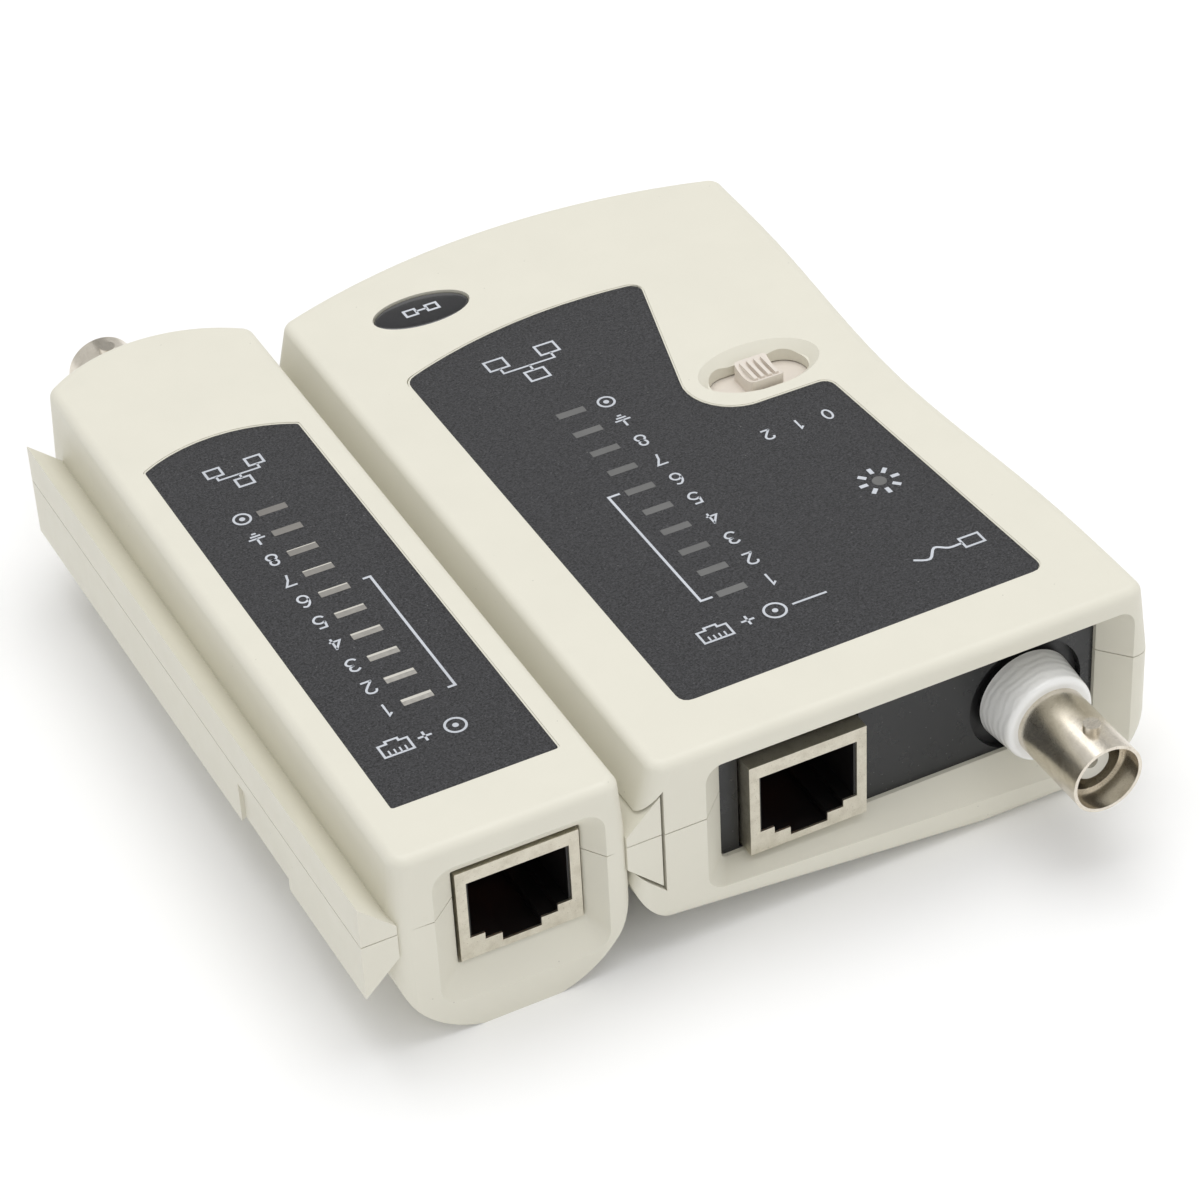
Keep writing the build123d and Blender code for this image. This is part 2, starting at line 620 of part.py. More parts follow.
def bnc_barrel(plane):
    """Metal barrel with a stepped bore, two bayonet studs and a threaded tail."""
    rim = BNC_RIM - PANEL_Y
    with BuildPart() as barrel:
        ring(plane, BARREL_START, rim, BNC_R, DIELECTRIC_R)
        ring(plane, -BNC_TAIL, BARREL_START, BNC_THREAD_R, DIELECTRIC_R)
        with BuildSketch(Plane(origin=plane.offset(rim - STUD_BACK).origin, z_dir=(0, 0, 1))):
            Circle(STUD_R)
        extrude(amount=STUD_REACH, both=True)
        with BuildSketch(plane.offset(BARREL_FLOOR)):
            Circle(BNC_DEEP_BORE_R)
        extrude(amount=rim - BARREL_FLOOR, mode=Mode.SUBTRACT)
        with BuildSketch(plane.offset(DIELECTRIC_FRONT)):
            Circle(BNC_BORE_R)
        extrude(amount=rim - DIELECTRIC_FRONT, mode=Mode.SUBTRACT)
    return barrel.part


def bnc_collar(plane):
    """White plastic collar between the end wall and the barrel, rounded at its outer end."""
    with BuildPart() as collar:
        with BuildSketch(plane):
            Circle(COLLAR_R)
        with BuildSketch(plane.offset(BARREL_START)):
            Circle(COLLAR_TIP_R)
        loft()
        fillet(collar.edges().group_by(Axis(plane.origin, plane.z_dir))[-1], radius=COLLAR_ROUND)
        with BuildSketch(plane):
            Circle(BNC_THREAD_R + 0.05)
        extrude(amount=BARREL_START, mode=Mode.SUBTRACT)
    return collar.part


def bnc_washer(plane, wall):
    """Dark washer behind a wall of the given thickness."""
    with BuildPart() as washer:
        ring(plane, -wall - WASHER_T, -wall, WASHER_R, BNC_THREAD_R + 0.05)
        if wall:
            ring(plane, -wall, 0, COLLAR_R - 0.4, BNC_THREAD_R + 0.05)
    return washer.part


def bnc_nut(plane, wall):
    """Hexagonal nut behind the washer."""
    with BuildPart() as nut:
        with BuildSketch(plane.offset(-wall - WASHER_T - NUT_T)):
            RegularPolygon(radius=NUT_R, side_count=6)
            Circle(BNC_THREAD_R + 0.05, mode=Mode.SUBTRACT)
        extrude(amount=NUT_T)
    return nut.part


def bnc_dielectric(plane):
    """White core that carries the centre contact, drilled from its front."""
    with BuildPart() as core:
        with BuildSketch(plane.offset(-BNC_TAIL)):
            Circle(DIELECTRIC_R - 0.03)
        extrude(amount=BNC_TAIL + DIELECTRIC_FRONT)
        with BuildSketch(plane.offset(-BNC_TAIL)):
            Circle(PIN_R + 0.02)
        extrude(amount=BNC_TAIL + DIELECTRIC_FRONT, mode=Mode.SUBTRACT)
    return core.part


def bnc_pin(plane):
    """Centre contact: a solid tail and a hollow front that takes a plug's pin."""
    with BuildPart() as pin:
        with BuildSketch(plane.offset(-BNC_TAIL - PIN_TAIL)):
            Circle(PIN_R)
        extrude(amount=BNC_TAIL + PIN_TAIL + DIELECTRIC_FRONT - PIN_INSET)
        with BuildSketch(plane.offset(DIELECTRIC_FRONT - PIN_INSET - PIN_HOLE_DEPTH)):
            Circle(PIN_HOLE_R)
        extrude(amount=PIN_HOLE_DEPTH, mode=Mode.SUBTRACT)
    return pin.part


master_jack_shield = jack_shield(MASTER_JACK)
master_jack_shield.label = "master_jack_shield"
export_step(master_jack_shield, "parts/master_jack_shield.step")
master_jack_insert = jack_insert(MASTER_JACK)
master_jack_insert.label = "master_jack_insert"
export_step(master_jack_insert, "parts/master_jack_insert.step")
master_jack_contacts = jack_contacts(MASTER_JACK)
master_jack_contacts.label = "master_jack_contacts"
export_step(master_jack_contacts, "parts/master_jack_contacts.step")

remote_jack_shield = jack_shield(REMOTE_JACK)
remote_jack_shield.label = "remote_jack_shield"
export_step(remote_jack_shield, "parts/remote_jack_shield.step")
remote_jack_insert = jack_insert(REMOTE_JACK)
remote_jack_insert.label = "remote_jack_insert"
export_step(remote_jack_insert, "parts/remote_jack_insert.step")
remote_jack_contacts = jack_contacts(REMOTE_JACK)
remote_jack_contacts.label = "remote_jack_contacts"
export_step(remote_jack_contacts, "parts/remote_jack_contacts.step")

master_bnc_plane = bnc_plane(MASTER_BNC, -1)
master_bnc_barrel = bnc_barrel(master_bnc_plane)
master_bnc_barrel.label = "master_bnc_barrel"
export_step(master_bnc_barrel, "parts/master_bnc_barrel.step")
master_bnc_collar = bnc_collar(master_bnc_plane)
master_bnc_collar.label = "master_bnc_collar"
export_step(master_bnc_collar, "parts/master_bnc_collar.step")
master_bnc_washer = bnc_washer(master_bnc_plane, PANEL_T)
master_bnc_washer.label = "master_bnc_washer"
export_step(master_bnc_washer, "parts/master_bnc_washer.step")
master_bnc_nut = bnc_nut(master_bnc_plane, PANEL_T)
master_bnc_nut.label = "master_bnc_nut"
export_step(master_bnc_nut, "parts/master_bnc_nut.step")
master_bnc_core = bnc_dielectric(master_bnc_plane)
master_bnc_core.label = "master_bnc_core"
export_step(master_bnc_core, "parts/master_bnc_core.step")
master_bnc_pin = bnc_pin(master_bnc_plane)
master_bnc_pin.label = "master_bnc_pin"
export_step(master_bnc_pin, "parts/master_bnc_pin.step")

remote_bnc_plane = bnc_plane(REMOTE_BNC, 1)
remote_bnc_barrel = bnc_barrel(remote_bnc_plane)
remote_bnc_barrel.label = "remote_bnc_barrel"
export_step(remote_bnc_barrel, "parts/remote_bnc_barrel.step")
remote_bnc_collar = bnc_collar(remote_bnc_plane)
remote_bnc_collar.label = "remote_bnc_collar"
export_step(remote_bnc_collar, "parts/remote_bnc_collar.step")
remote_bnc_washer = bnc_washer(remote_bnc_plane, 0)
remote_bnc_washer.label = "remote_bnc_washer"
export_step(remote_bnc_washer, "parts/remote_bnc_washer.step")
remote_bnc_nut = bnc_nut(remote_bnc_plane, 0)
remote_bnc_nut.label = "remote_bnc_nut"
export_step(remote_bnc_nut, "parts/remote_bnc_nut.step")
remote_bnc_core = bnc_dielectric(remote_bnc_plane)
remote_bnc_core.label = "remote_bnc_core"
export_step(remote_bnc_core, "parts/remote_bnc_core.step")
remote_bnc_pin = bnc_pin(remote_bnc_plane)
remote_bnc_pin.label = "remote_bnc_pin"
export_step(remote_bnc_pin, "parts/remote_bnc_pin.step")

# ------------------------------------------------------------------ master board and its parts
with BuildPart() as master_board:
    with BuildSketch(Plane.XY.offset(JACK_TOP)):
        with BuildLine():
            Polyline((-5.4, 13.0), (-5.4, -51.8), (19.0, -51.8), (19.0, -46.0), (42.0, -46.0), (42.0, 13.0),
                     close=True)
        make_face()
        with Locations(SWITCH):
            Rectangle(8.4, STEM + 0.9, mode=Mode.SUBTRACT)
    extrude(amount=BOARD_T)
master_board.part.label = "master_board"
export_step(master_board.part, "parts/master_board.step")


def dual_in_line(centre, pins):
    """Chip that hangs under the board, with a row of bent legs down each side."""
    length = pins / 2 * PIN_PITCH - 0.6
    leg_z = CHIP_BOTTOM + CHIP_T / 2 - LEG_T / 2
    with BuildPart() as chip:
        with BuildSketch(Plane.XY.offset(CHIP_BOTTOM)):
            with Locations(centre):
                Rectangle(CHIP_W, length)
        extrude(amount=CHIP_T)
        with BuildSketch(Plane.XY.offset(leg_z)):
            with Locations(centre):
                with GridLocations(CHIP_W + 0.8, PIN_PITCH, 2, pins // 2):
                    Rectangle(1.0, 0.9)
        extrude(amount=LEG_T)
        with BuildSketch(Plane.XY.offset(leg_z)):
            with Locations(centre):
                with GridLocations(CHIP_W + 1.5, PIN_PITCH, 2, pins // 2):
                    Rectangle(LEG_T, 0.6)
        extrude(amount=JACK_TOP - leg_z)
    return chip.part


counter_chip = dual_in_line(COUNTER_CHIP, 16)
counter_chip.label = "counter_chip"
export_step(counter_chip, "parts/counter_chip.step")
timer_chip = dual_in_line(TIMER_CHIP, 8)
timer_chip.label = "timer_chip"
export_step(timer_chip, "parts/timer_chip.step")


def axial_parts(centres, body_r, body_l, lead_span):
    """Row of resistors or diodes under a board, each a small cylinder on two bent leads."""
    with BuildPart() as row:
        for x, y in centres:
            with BuildSketch(Plane.YZ.offset(x - body_l / 2)):
                with Locations((y, AXIAL_Z)):
                    Circle(body_r)
            extrude(amount=body_l)
            with BuildSketch(Plane.YZ.offset(x - lead_span / 2)):
                with Locations((y, AXIAL_Z)):
                    Rectangle(LEAD_W, LEAD_W)
            extrude(amount=lead_span)
            with BuildSketch(Plane.XY.offset(AXIAL_Z - LEAD_W / 2)):
                with Locations((x - lead_span / 2 + LEAD_W / 2, y), (x + lead_span / 2 - LEAD_W / 2, y)):
                    Rectangle(LEAD_W, LEAD_W)
            extrude(amount=JACK_TOP - AXIAL_Z + LEAD_W / 2)
    return row.part


resistors = axial_parts([(3.6, y) for x, y in led_places(MASTER_LED)], 1.1, 6.0, 9.6)
resistors.label = "resistors"
export_step(resistors, "parts/resistors.step")
remote_diodes = axial_parts([(REMOTE_LED[0], y) for x, y in led_places(REMOTE_LED)], 0.95, 4.0, 8.4)
remote_diodes.label = "remote_diodes"
export_step(remote_diodes, "parts/remote_diodes.step")

with BuildPart() as capacitors:
    with BuildSketch(Plane.XY.offset(JACK_TOP)):
        with Locations(*CAPACITORS):
            Circle(2.5)
    extrude(amount=-7.0)
    chamfer(capacitors.edges().group_by(Axis.Z)[0], length=0.3)
capacitors.part.label = "capacitors"
export_step(capacitors.part, "parts/capacitors.step")

# ------------------------------------------------------------------ battery and its leads
battery_x, battery_y, battery_z = BATTERY_MIN
battery_l, battery_w, battery_h = BATTERY_SIZE
terminal_x = battery_x + battery_l
terminal_y = battery_y + battery_w / 2
terminal_z = battery_z + battery_h / 2
terminals = list(zip((terminal_y - TERMINAL_HALF, terminal_y + TERMINAL_HALF), TERMINAL_R))

with BuildPart() as battery:
    with BuildSketch(Plane.YZ.offset(battery_x)):
        with Locations((terminal_y, terminal_z)):
            RectangleRounded(battery_w, battery_h, 2.0)
    extrude(amount=battery_l)
    for y, radius in terminals:
        with BuildSketch(Plane.YZ.offset(terminal_x)):
            with Locations((y, terminal_z)):
                Circle(radius)
        extrude(amount=TERMINAL_H)
battery.part.label = "battery"
export_step(battery.part, "parts/battery.step")

with BuildPart() as battery_snap:
    with BuildSketch(Plane.YZ.offset(terminal_x)):
        with Locations((terminal_y, terminal_z)):
            RectangleRounded(battery_w - 1.0, SNAP_H, 2.0)
    extrude(amount=SNAP_T)
    for y, radius in terminals:
        with BuildSketch(Plane.YZ.offset(terminal_x)):
            with Locations((y, terminal_z)):
                Circle(radius + 0.1)
        extrude(amount=TERMINAL_H + 0.2, mode=Mode.SUBTRACT)
battery_snap.part.label = "battery_snap"
export_step(battery_snap.part, "parts/battery_snap.step")


def lead(points, radii):
    """Round wire along straight runs joined by tangent arcs."""
    with BuildPart() as wire:
        with BuildLine() as route:
            FilletPolyline(*points, radius=radii)
        with BuildSketch(Plane(origin=route.wire() @ 0, z_dir=route.wire() % 0)):
            Circle(WIRE_R)
        sweep()
    return wire.part


battery_lead_red = lead(RED_ROUTE, RED_RADII)
battery_lead_red.label = "battery_lead_red"
export_step(battery_lead_red, "parts/battery_lead_red.step")
battery_lead_black = lead(BLACK_ROUTE, BLACK_RADII)
battery_lead_black.label = "battery_lead_black"
export_step(battery_lead_black, "parts/battery_lead_black.step")

# ------------------------------------------------------------------ screws


def screws(places):
    """Pan-head screws that run up from the underside, with a cross slot in each head."""
    with BuildPart() as group:
        with BuildSketch(Plane.XY.offset(HEAD_Z - HEAD_T)):
            with Locations(*places):
                Circle(HEAD_R)
        extrude(amount=HEAD_T)
        with BuildSketch(Plane.XY.offset(HEAD_Z)):
            with Locations(*places):
                Circle(SCREW_R)
        extrude(amount=PARTING_Z + 4.5 - HEAD_Z)
        with BuildSketch(Plane.XY.offset(HEAD_Z - HEAD_T)):
            with Locations(*places):
                Rectangle(2.6, 0.6)
                Rectangle(0.6, 2.6)
        extrude(amount=0.8, mode=Mode.SUBTRACT)
    return group.part


master_screws = screws(MASTER_POSTS)
master_screws.label = "master_screws"
export_step(master_screws, "parts/master_screws.step")
remote_screws = screws(REMOTE_POSTS)
remote_screws.label = "remote_screws"
export_step(remote_screws, "parts/remote_screws.step")

# ------------------------------------------------------------------ remote
with BuildPart() as remote_envelope:
    with BuildSketch(Plane.XY):
        with BuildLine():
            Polyline((REMOTE_X - REMOTE_HALF, REMOTE_FAR_CORNER_Y), (REMOTE_X - REMOTE_HALF, END_Y),
                     (REMOTE_X + REMOTE_HALF, END_Y), (REMOTE_X + REMOTE_HALF, REMOTE_FAR_CORNER_Y))
            ThreePointArc((REMOTE_X + REMOTE_HALF, REMOTE_FAR_CORNER_Y), (REMOTE_X, REMOTE_FAR_APEX_Y),
                          (REMOTE_X - REMOTE_HALF, REMOTE_FAR_CORNER_Y))
        make_face()
    extrude(amount=BODY_H)
    with BuildSketch(Plane(origin=(REMOTE_X, 70, 0), x_dir=(1, 0, 0), z_dir=(0, -1, 0))):
        with BuildLine():
            Line((5.0, 0), (-5.0, 0))
            ThreePointArc((-5.0, 0), (-12.3, 4.5), (-REMOTE_HALF, 11.5))
            Polyline((-REMOTE_HALF, 11.5), (-REMOTE_HALF, PARTING_Z), (-REMOTE_TOP_HALF, BODY_H),
                     (REMOTE_TOP_HALF, BODY_H), (REMOTE_HALF, PARTING_Z), (REMOTE_HALF, 11.5))
            ThreePointArc((REMOTE_HALF, 11.5), (12.3, 4.5), (5.0, 0))
        make_face()
    extrude(amount=140, mode=Mode.INTERSECT)
    uprights = [e for e in remote_envelope.edges() if abs((e % 0.5).Z) > 0.9]
    fillet(uprights, radius=CORNER_R)
    fillet(remote_envelope.faces().sort_by(Axis.Z)[-1].edges(), radius=TOP_EDGE_R)
    for side, far_reach, far_drop in ((-1, FREE_RAIL_FAR_REACH, FREE_RAIL_FAR_DROP), (1, RAIL_REACH, 0)):
        for y, reach, drop in ((RAIL_Y0, RAIL_REACH, 0), (RAIL_Y1, far_reach, far_drop)):
            with BuildSketch(Plane.XZ.offset(-y)):
                with BuildLine():
                    neck = REMOTE_X + side * (REMOTE_HALF - RAIL_ROOT)
                    out = REMOTE_X + side * (REMOTE_HALF + reach)
                    centre_z = RAIL_Z - drop
                    Polyline((neck, centre_z - rail_half(-RAIL_ROOT)), (out, centre_z - RAIL_OUT_HALF),
                             (out, centre_z + RAIL_OUT_HALF), (neck, centre_z + rail_half(-RAIL_ROOT)),
                             close=True)
                make_face()
        loft()

with BuildPart() as remote_cavity:
    with BuildSketch(Plane.XY):
        with BuildLine():
            Polyline((-47.2, 48.0), (-47.2, -PANEL_Y), (-20.8, -PANEL_Y), (-20.8, 48.0), (-25.0, PANEL_Y),
                     (-43.6, PANEL_Y), close=True)
        make_face()
    extrude(amount=BODY_H - TOP_WALL)
    with BuildSketch(Plane.XZ.offset(-70)):
        with BuildLine():
            Polyline((-47.2, BODY_H), (-47.2, 12.6), (-44.8, 6.6), (-38.6, FLOOR), (-29.4, FLOOR),
                     (-23.2, 6.6), (-20.8, 12.6), (-20.8, BODY_H), close=True)
        make_face()
    extrude(amount=140, mode=Mode.INTERSECT)

with BuildPart() as remote_mouth:
    # Dished recess around the socket, then a hole the size of the socket.
    with BuildSketch(Plane.XZ.offset(-END_Y + 0.02)):
        with BuildLine():
            FilletPolyline((-44.2, 25.7), (-21.9, 25.7), (-21.9, 4.1), (-44.2, 4.9), radius=2.8, close=True)
        make_face()
    with BuildSketch(Plane.XZ.offset(-END_Y - 2.9)):
        with BuildLine():
            FilletPolyline(*REMOTE_SOCKET_HOLE, radius=0.3, close=True)
        make_face()
    loft()
    with BuildSketch(Plane.XZ.offset(PANEL_Y - 1)):
        with BuildLine():
            FilletPolyline(*REMOTE_SOCKET_HOLE, radius=0.3, close=True)
        make_face()
    extrude(amount=-END_Y - 2.8 - PANEL_Y + 1)
    with BuildSketch(remote_bnc_plane.offset(-1)):
        Circle(COLLAR_R + 0.15)
    extrude(amount=8)

with BuildPart() as remote_pillars:
    with BuildSketch(Plane.XY):
        with Locations(REMOTE_POSTS):
            Circle(POST_R)
    extrude(amount=PARTING_Z)
    add(remote_envelope.part, mode=Mode.INTERSECT)

with BuildPart() as remote_top_shell:
    add(remote_envelope.part)
    split(bisect_by=Plane.XY.offset(PARTING_Z), keep=Keep.TOP)
    add(remote_cavity.part, mode=Mode.SUBTRACT)
    with BuildSketch(Plane.XY.offset(PARTING_Z)):
        with Locations(REMOTE_POSTS):
            Circle(POST_R)
    extrude(amount=BODY_H - TOP_WALL + 0.2 - PARTING_Z)
    with BuildSketch(Plane.XY.offset(BOARD_TOP)):
        with Locations(REMOTE_PEGS):
            Circle(PEG_R)
    extrude(amount=BODY_H - TOP_WALL + 0.2 - BOARD_TOP)
    add(remote_mouth.part, mode=Mode.SUBTRACT)
    with BuildSketch(Plane.XY.offset(BODY_H)):
        offset(remote_label_shape.sketch, amount=LABEL_GAP)
    extrude(amount=-RECESS_DEPTH, mode=Mode.SUBTRACT)
    with BuildSketch(Plane.XY.offset(BODY_H)):
        windows(REMOTE_LED, 0.3)
    extrude(amount=-4, mode=Mode.SUBTRACT)
    with BuildSketch(Plane.XY.offset(PARTING_Z)):
        with Locations(REMOTE_POSTS):
            Circle(SCREW_R + 0.02)
    extrude(amount=6, mode=Mode.SUBTRACT)
remote_top_shell.part.label = "remote_top_shell"
export_step(remote_top_shell.part, "parts/remote_top_shell.step")

with BuildPart() as remote_bottom_shell:
    add(remote_envelope.part)
    split(bisect_by=Plane.XY.offset(PARTING_Z - SEAM_GAP), keep=Keep.BOTTOM)
    add(remote_cavity.part, mode=Mode.SUBTRACT)
    add(remote_pillars.part)
    add(remote_mouth.part, mode=Mode.SUBTRACT)
    with BuildSketch(Plane.XY.offset(-1)):
        with Locations(REMOTE_POSTS):
            Circle(HEAD_R + 0.25)
    extrude(amount=HEAD_Z + 1, mode=Mode.SUBTRACT)
    with BuildSketch(Plane.XY.offset(HEAD_Z)):
        with Locations(REMOTE_POSTS):
            Circle(SCREW_R + 0.2)
    extrude(amount=PARTING_Z, mode=Mode.SUBTRACT)
    # Shallow detent notch on the outer face of each rail.
    for side in (-1, 1):
        with BuildSketch(Plane.XY):
            with Locations((REMOTE_X + side * (REMOTE_HALF + RAIL_REACH), (DETENT_Y0 + DETENT_Y1) / 2)):
                Rectangle(2 * DETENT_DEPTH, DETENT_Y1 - DETENT_Y0)
        extrude(amount=RAIL_Z - 1, mode=Mode.SUBTRACT)
remote_bottom_shell.part.label = "remote_bottom_shell"
export_step(remote_bottom_shell.part, "parts/remote_bottom_shell.step")

with BuildPart() as remote_label:
    with BuildSketch(Plane.XY.offset(BODY_H - RECESS_DEPTH)):
        add(remote_label_shape.sketch)
        with BuildSketch(mode=Mode.PRIVATE) as remote_label_holes:
            windows(REMOTE_LED, 0.16)
        add(remote_label_holes.sketch, mode=Mode.SUBTRACT)
    extrude(amount=LABEL_T)
remote_label.part.label = "remote_label"
export_step(remote_label.part, "parts/remote_label.step")

remote_leds = bar_leds(REMOTE_LED)
remote_leds.label = "remote_leds"
export_step(remote_leds, "parts/remote_leds.step")

with BuildPart() as remote_board:
    with BuildSketch(Plane.XY.offset(JACK_TOP)):
        with BuildLine():
            Polyline((-41.2, 43.0), (-41.2, -52.0), (-23.4, -52.0), (-23.4, -36.4), (-26.8, -36.4),
                     (-26.8, 43.0), close=True)
        make_face()
    extrude(amount=BOARD_T)
remote_board.part.label = "remote_board"
export_step(remote_board.part, "parts/remote_board.step")
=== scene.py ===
import json
import math

import bmesh
import bpy
from mathutils import Matrix, Vector


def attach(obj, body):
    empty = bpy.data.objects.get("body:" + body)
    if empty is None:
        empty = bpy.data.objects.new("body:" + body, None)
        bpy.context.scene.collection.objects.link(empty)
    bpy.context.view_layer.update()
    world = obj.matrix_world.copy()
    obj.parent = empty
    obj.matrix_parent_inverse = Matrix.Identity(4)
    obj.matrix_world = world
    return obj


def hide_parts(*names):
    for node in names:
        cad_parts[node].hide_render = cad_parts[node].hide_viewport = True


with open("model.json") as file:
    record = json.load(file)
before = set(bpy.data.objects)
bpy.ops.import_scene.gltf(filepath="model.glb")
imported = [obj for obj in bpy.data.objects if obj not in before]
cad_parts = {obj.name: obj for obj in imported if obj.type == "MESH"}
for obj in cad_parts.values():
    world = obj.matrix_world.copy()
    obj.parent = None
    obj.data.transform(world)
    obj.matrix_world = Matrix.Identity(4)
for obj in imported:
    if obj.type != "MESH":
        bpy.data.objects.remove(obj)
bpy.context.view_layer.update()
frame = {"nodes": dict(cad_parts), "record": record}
nodes = frame["nodes"]
MM = 0.001


def srgb(r, g, b):
    """Linear RGBA of an 8-bit display colour."""
    def linear(v):
        v /= 255.0
        return v / 12.92 if v <= 0.04045 else ((v + 0.055) / 1.055) ** 2.4
    return (linear(r), linear(g), linear(b), 1.0)


# ------------------------------------------------------------------ node materials
class Graph:
    """Small wrapper that adds and links shader nodes of one material."""

    def __init__(self, name):
        self.material = bpy.data.materials.new(name)
        self.material.use_nodes = True
        self.tree = self.material.node_tree
        self.tree.nodes.clear()
        self.out = self.tree.nodes.new("ShaderNodeOutputMaterial")
        self.shader = self.tree.nodes.new("ShaderNodeBsdfPrincipled")
        self.tree.links.new(self.shader.outputs[0], self.out.inputs[0])
        self.coords = self.tree.nodes.new("ShaderNodeTexCoord").outputs["Object"]

    def link(self, value, socket):
        """Feed a socket from another node, or set it to a constant."""
        if isinstance(value, bpy.types.NodeSocket):
            self.tree.links.new(value, socket)
        else:
            socket.default_value = value

    def scaled(self, x, y, z):
        """Object coordinates stretched by a factor on each axis."""
        node = self.tree.nodes.new("ShaderNodeVectorMath")
        node.operation = "MULTIPLY"
        self.link(self.coords, node.inputs[0])
        node.inputs[1].default_value = (x, y, z)
        return node.outputs[0]

    def axis(self, index):
        """One object coordinate, in metres."""
        node = self.tree.nodes.new("ShaderNodeSeparateXYZ")
        self.link(self.coords, node.inputs[0])
        return node.outputs[index]

    def noise(self, size_mm, detail=2.0, rough=0.5, coords=None):
        """Cloudy noise with features of about the given size."""
        node = self.tree.nodes.new("ShaderNodeTexNoise")
        self.link(coords or self.coords, node.inputs["Vector"])
        node.inputs["Scale"].default_value = 1.0 / (size_mm * MM)
        node.inputs["Detail"].default_value = detail
        node.inputs["Roughness"].default_value = rough
        return node.outputs["Fac"]

    def cells(self, size_mm, feature="F1", coords=None):
        """Distance from the middle, or from the edge, of random cells of about the given size."""
        node = self.tree.nodes.new("ShaderNodeTexVoronoi")
        node.feature = feature
        self.link(coords or self.coords, node.inputs["Vector"])
        node.inputs["Scale"].default_value = 1.0 / (size_mm * MM)
        return node.outputs["Distance"]

    def ramp(self, value, low, high, out_low=0.0, out_high=1.0):
        """Value stretched from one range to another and held at its ends."""
        node = self.tree.nodes.new("ShaderNodeMapRange")
        self.link(value, node.inputs["Value"])
        node.inputs["From Min"].default_value = low
        node.inputs["From Max"].default_value = high
        node.inputs["To Min"].default_value = out_low
        node.inputs["To Max"].default_value = out_high
        return node.outputs[0]

    def math(self, operation, a, b=0.0):
        """Result of one arithmetic node."""
        node = self.tree.nodes.new("ShaderNodeMath")
        node.operation = operation
        self.link(a, node.inputs[0])
        self.link(b, node.inputs[1])
        return node.outputs[0]

    def band(self, value, centre, half):
        """1 where value is within half of centre, with a soft edge."""
        away = self.math("ABSOLUTE", self.math("SUBTRACT", value, centre))
        return self.ramp(away, half, half * 0.85)

    def mix(self, factor, a, b):
        """Colour between a and b."""
        node = self.tree.nodes.new("ShaderNodeMix")
        node.data_type = "RGBA"
        self.link(factor, node.inputs["Factor"])
        self.link(a, node.inputs[6])
        self.link(b, node.inputs[7])
        return node.outputs[2]

    def bump(self, height, depth_mm):
        """Surface relief from a height of 0 to 1."""
        node = self.tree.nodes.new("ShaderNodeBump")
        node.inputs["Distance"].default_value = depth_mm * MM
        self.link(height, node.inputs["Height"])
        self.link(node.outputs[0], self.shader.inputs["Normal"])

    def tint(self, color):
        """Colour that takes the place of the one set before."""
        self.link(color, self.shader.inputs["Base Color"])

    def surface(self, color, roughness, metallic=0.0):
        """Main inputs of the shader."""
        self.tint(color)
        self.link(roughness, self.shader.inputs["Roughness"])
        self.shader.inputs["Metallic"].default_value = metallic


def shade(color, factor):
    """Colour made darker by a factor."""
    return tuple(c * factor for c in color[:3]) + (1.0,)


def plastic(name, color, rough=(0.4, 0.5), grain_mm=0.3, depth_mm=0.006, mottle=0.05, speck=0.6, coat=0.0):
    """Moulded plastic: cloudy colour, a fine moulded grain, rare specks of dust and rubbed patches."""
    g = Graph(name)
    cloud = g.ramp(g.noise(9.0, 3.0), 0.3, 0.7)
    fine = g.noise(grain_mm, 2.0)
    tone = g.mix(cloud, shade(color, 1 - mottle), color)
    dust = g.ramp(g.cells(3.2), 0.035, 0.022)
    tone = g.mix(g.math("MULTIPLY", dust, speck), tone, shade(color, 0.35))
    g.surface(tone, g.ramp(g.noise(2.5, 3.0), 0.3, 0.7, *rough))
    g.bump(fine, depth_mm)
    g.shader.inputs["Coat Weight"].default_value = coat
    return g


def metal(name, color, dark, rough=(0.18, 0.34), stretch=(1, 1, 1), depth_mm=0.002, tarnish=0.5):
    """Metal with stretched scratches, tarnish in patches and small pits."""
    g = Graph(name)
    lines = g.noise(0.16, 3.0, 0.6, g.scaled(*stretch))
    patch = g.ramp(g.noise(1.6, 4.0, 0.6), 0.42, 0.72)
    pits = g.ramp(g.cells(0.55), 0.16, 0.08)
    tone = g.mix(g.math("MULTIPLY", patch, tarnish), color, dark)
    tone = g.mix(g.math("MULTIPLY", g.ramp(lines, 0.5, 0.75), 0.35), tone, dark)
    tone = g.mix(g.math("MULTIPLY", pits, 0.5), tone, dark)
    g.surface(tone, g.ramp(lines, 0.3, 0.7, *rough), 1.0)
    g.bump(lines, depth_mm)
    return g


ivory = plastic("ivory_plastic", srgb(221, 218, 204), (0.42, 0.56), 0.28, 0.005, 0.02, 0.35)
knob = plastic("switch_ivory", srgb(222, 214, 204), (0.34, 0.46), 0.2, 0.004, 0.03, 0.25)
panel = plastic("panel_grey", srgb(46, 47, 49), (0.24, 0.38), 0.25, 0.006, 0.15, 0.0)
dust = panel.math("MULTIPLY", panel.ramp(panel.cells(1.1), 0.09, 0.05), 0.25)
panel.tint(panel.mix(dust, srgb(31, 32, 33), srgb(150, 150, 148)))

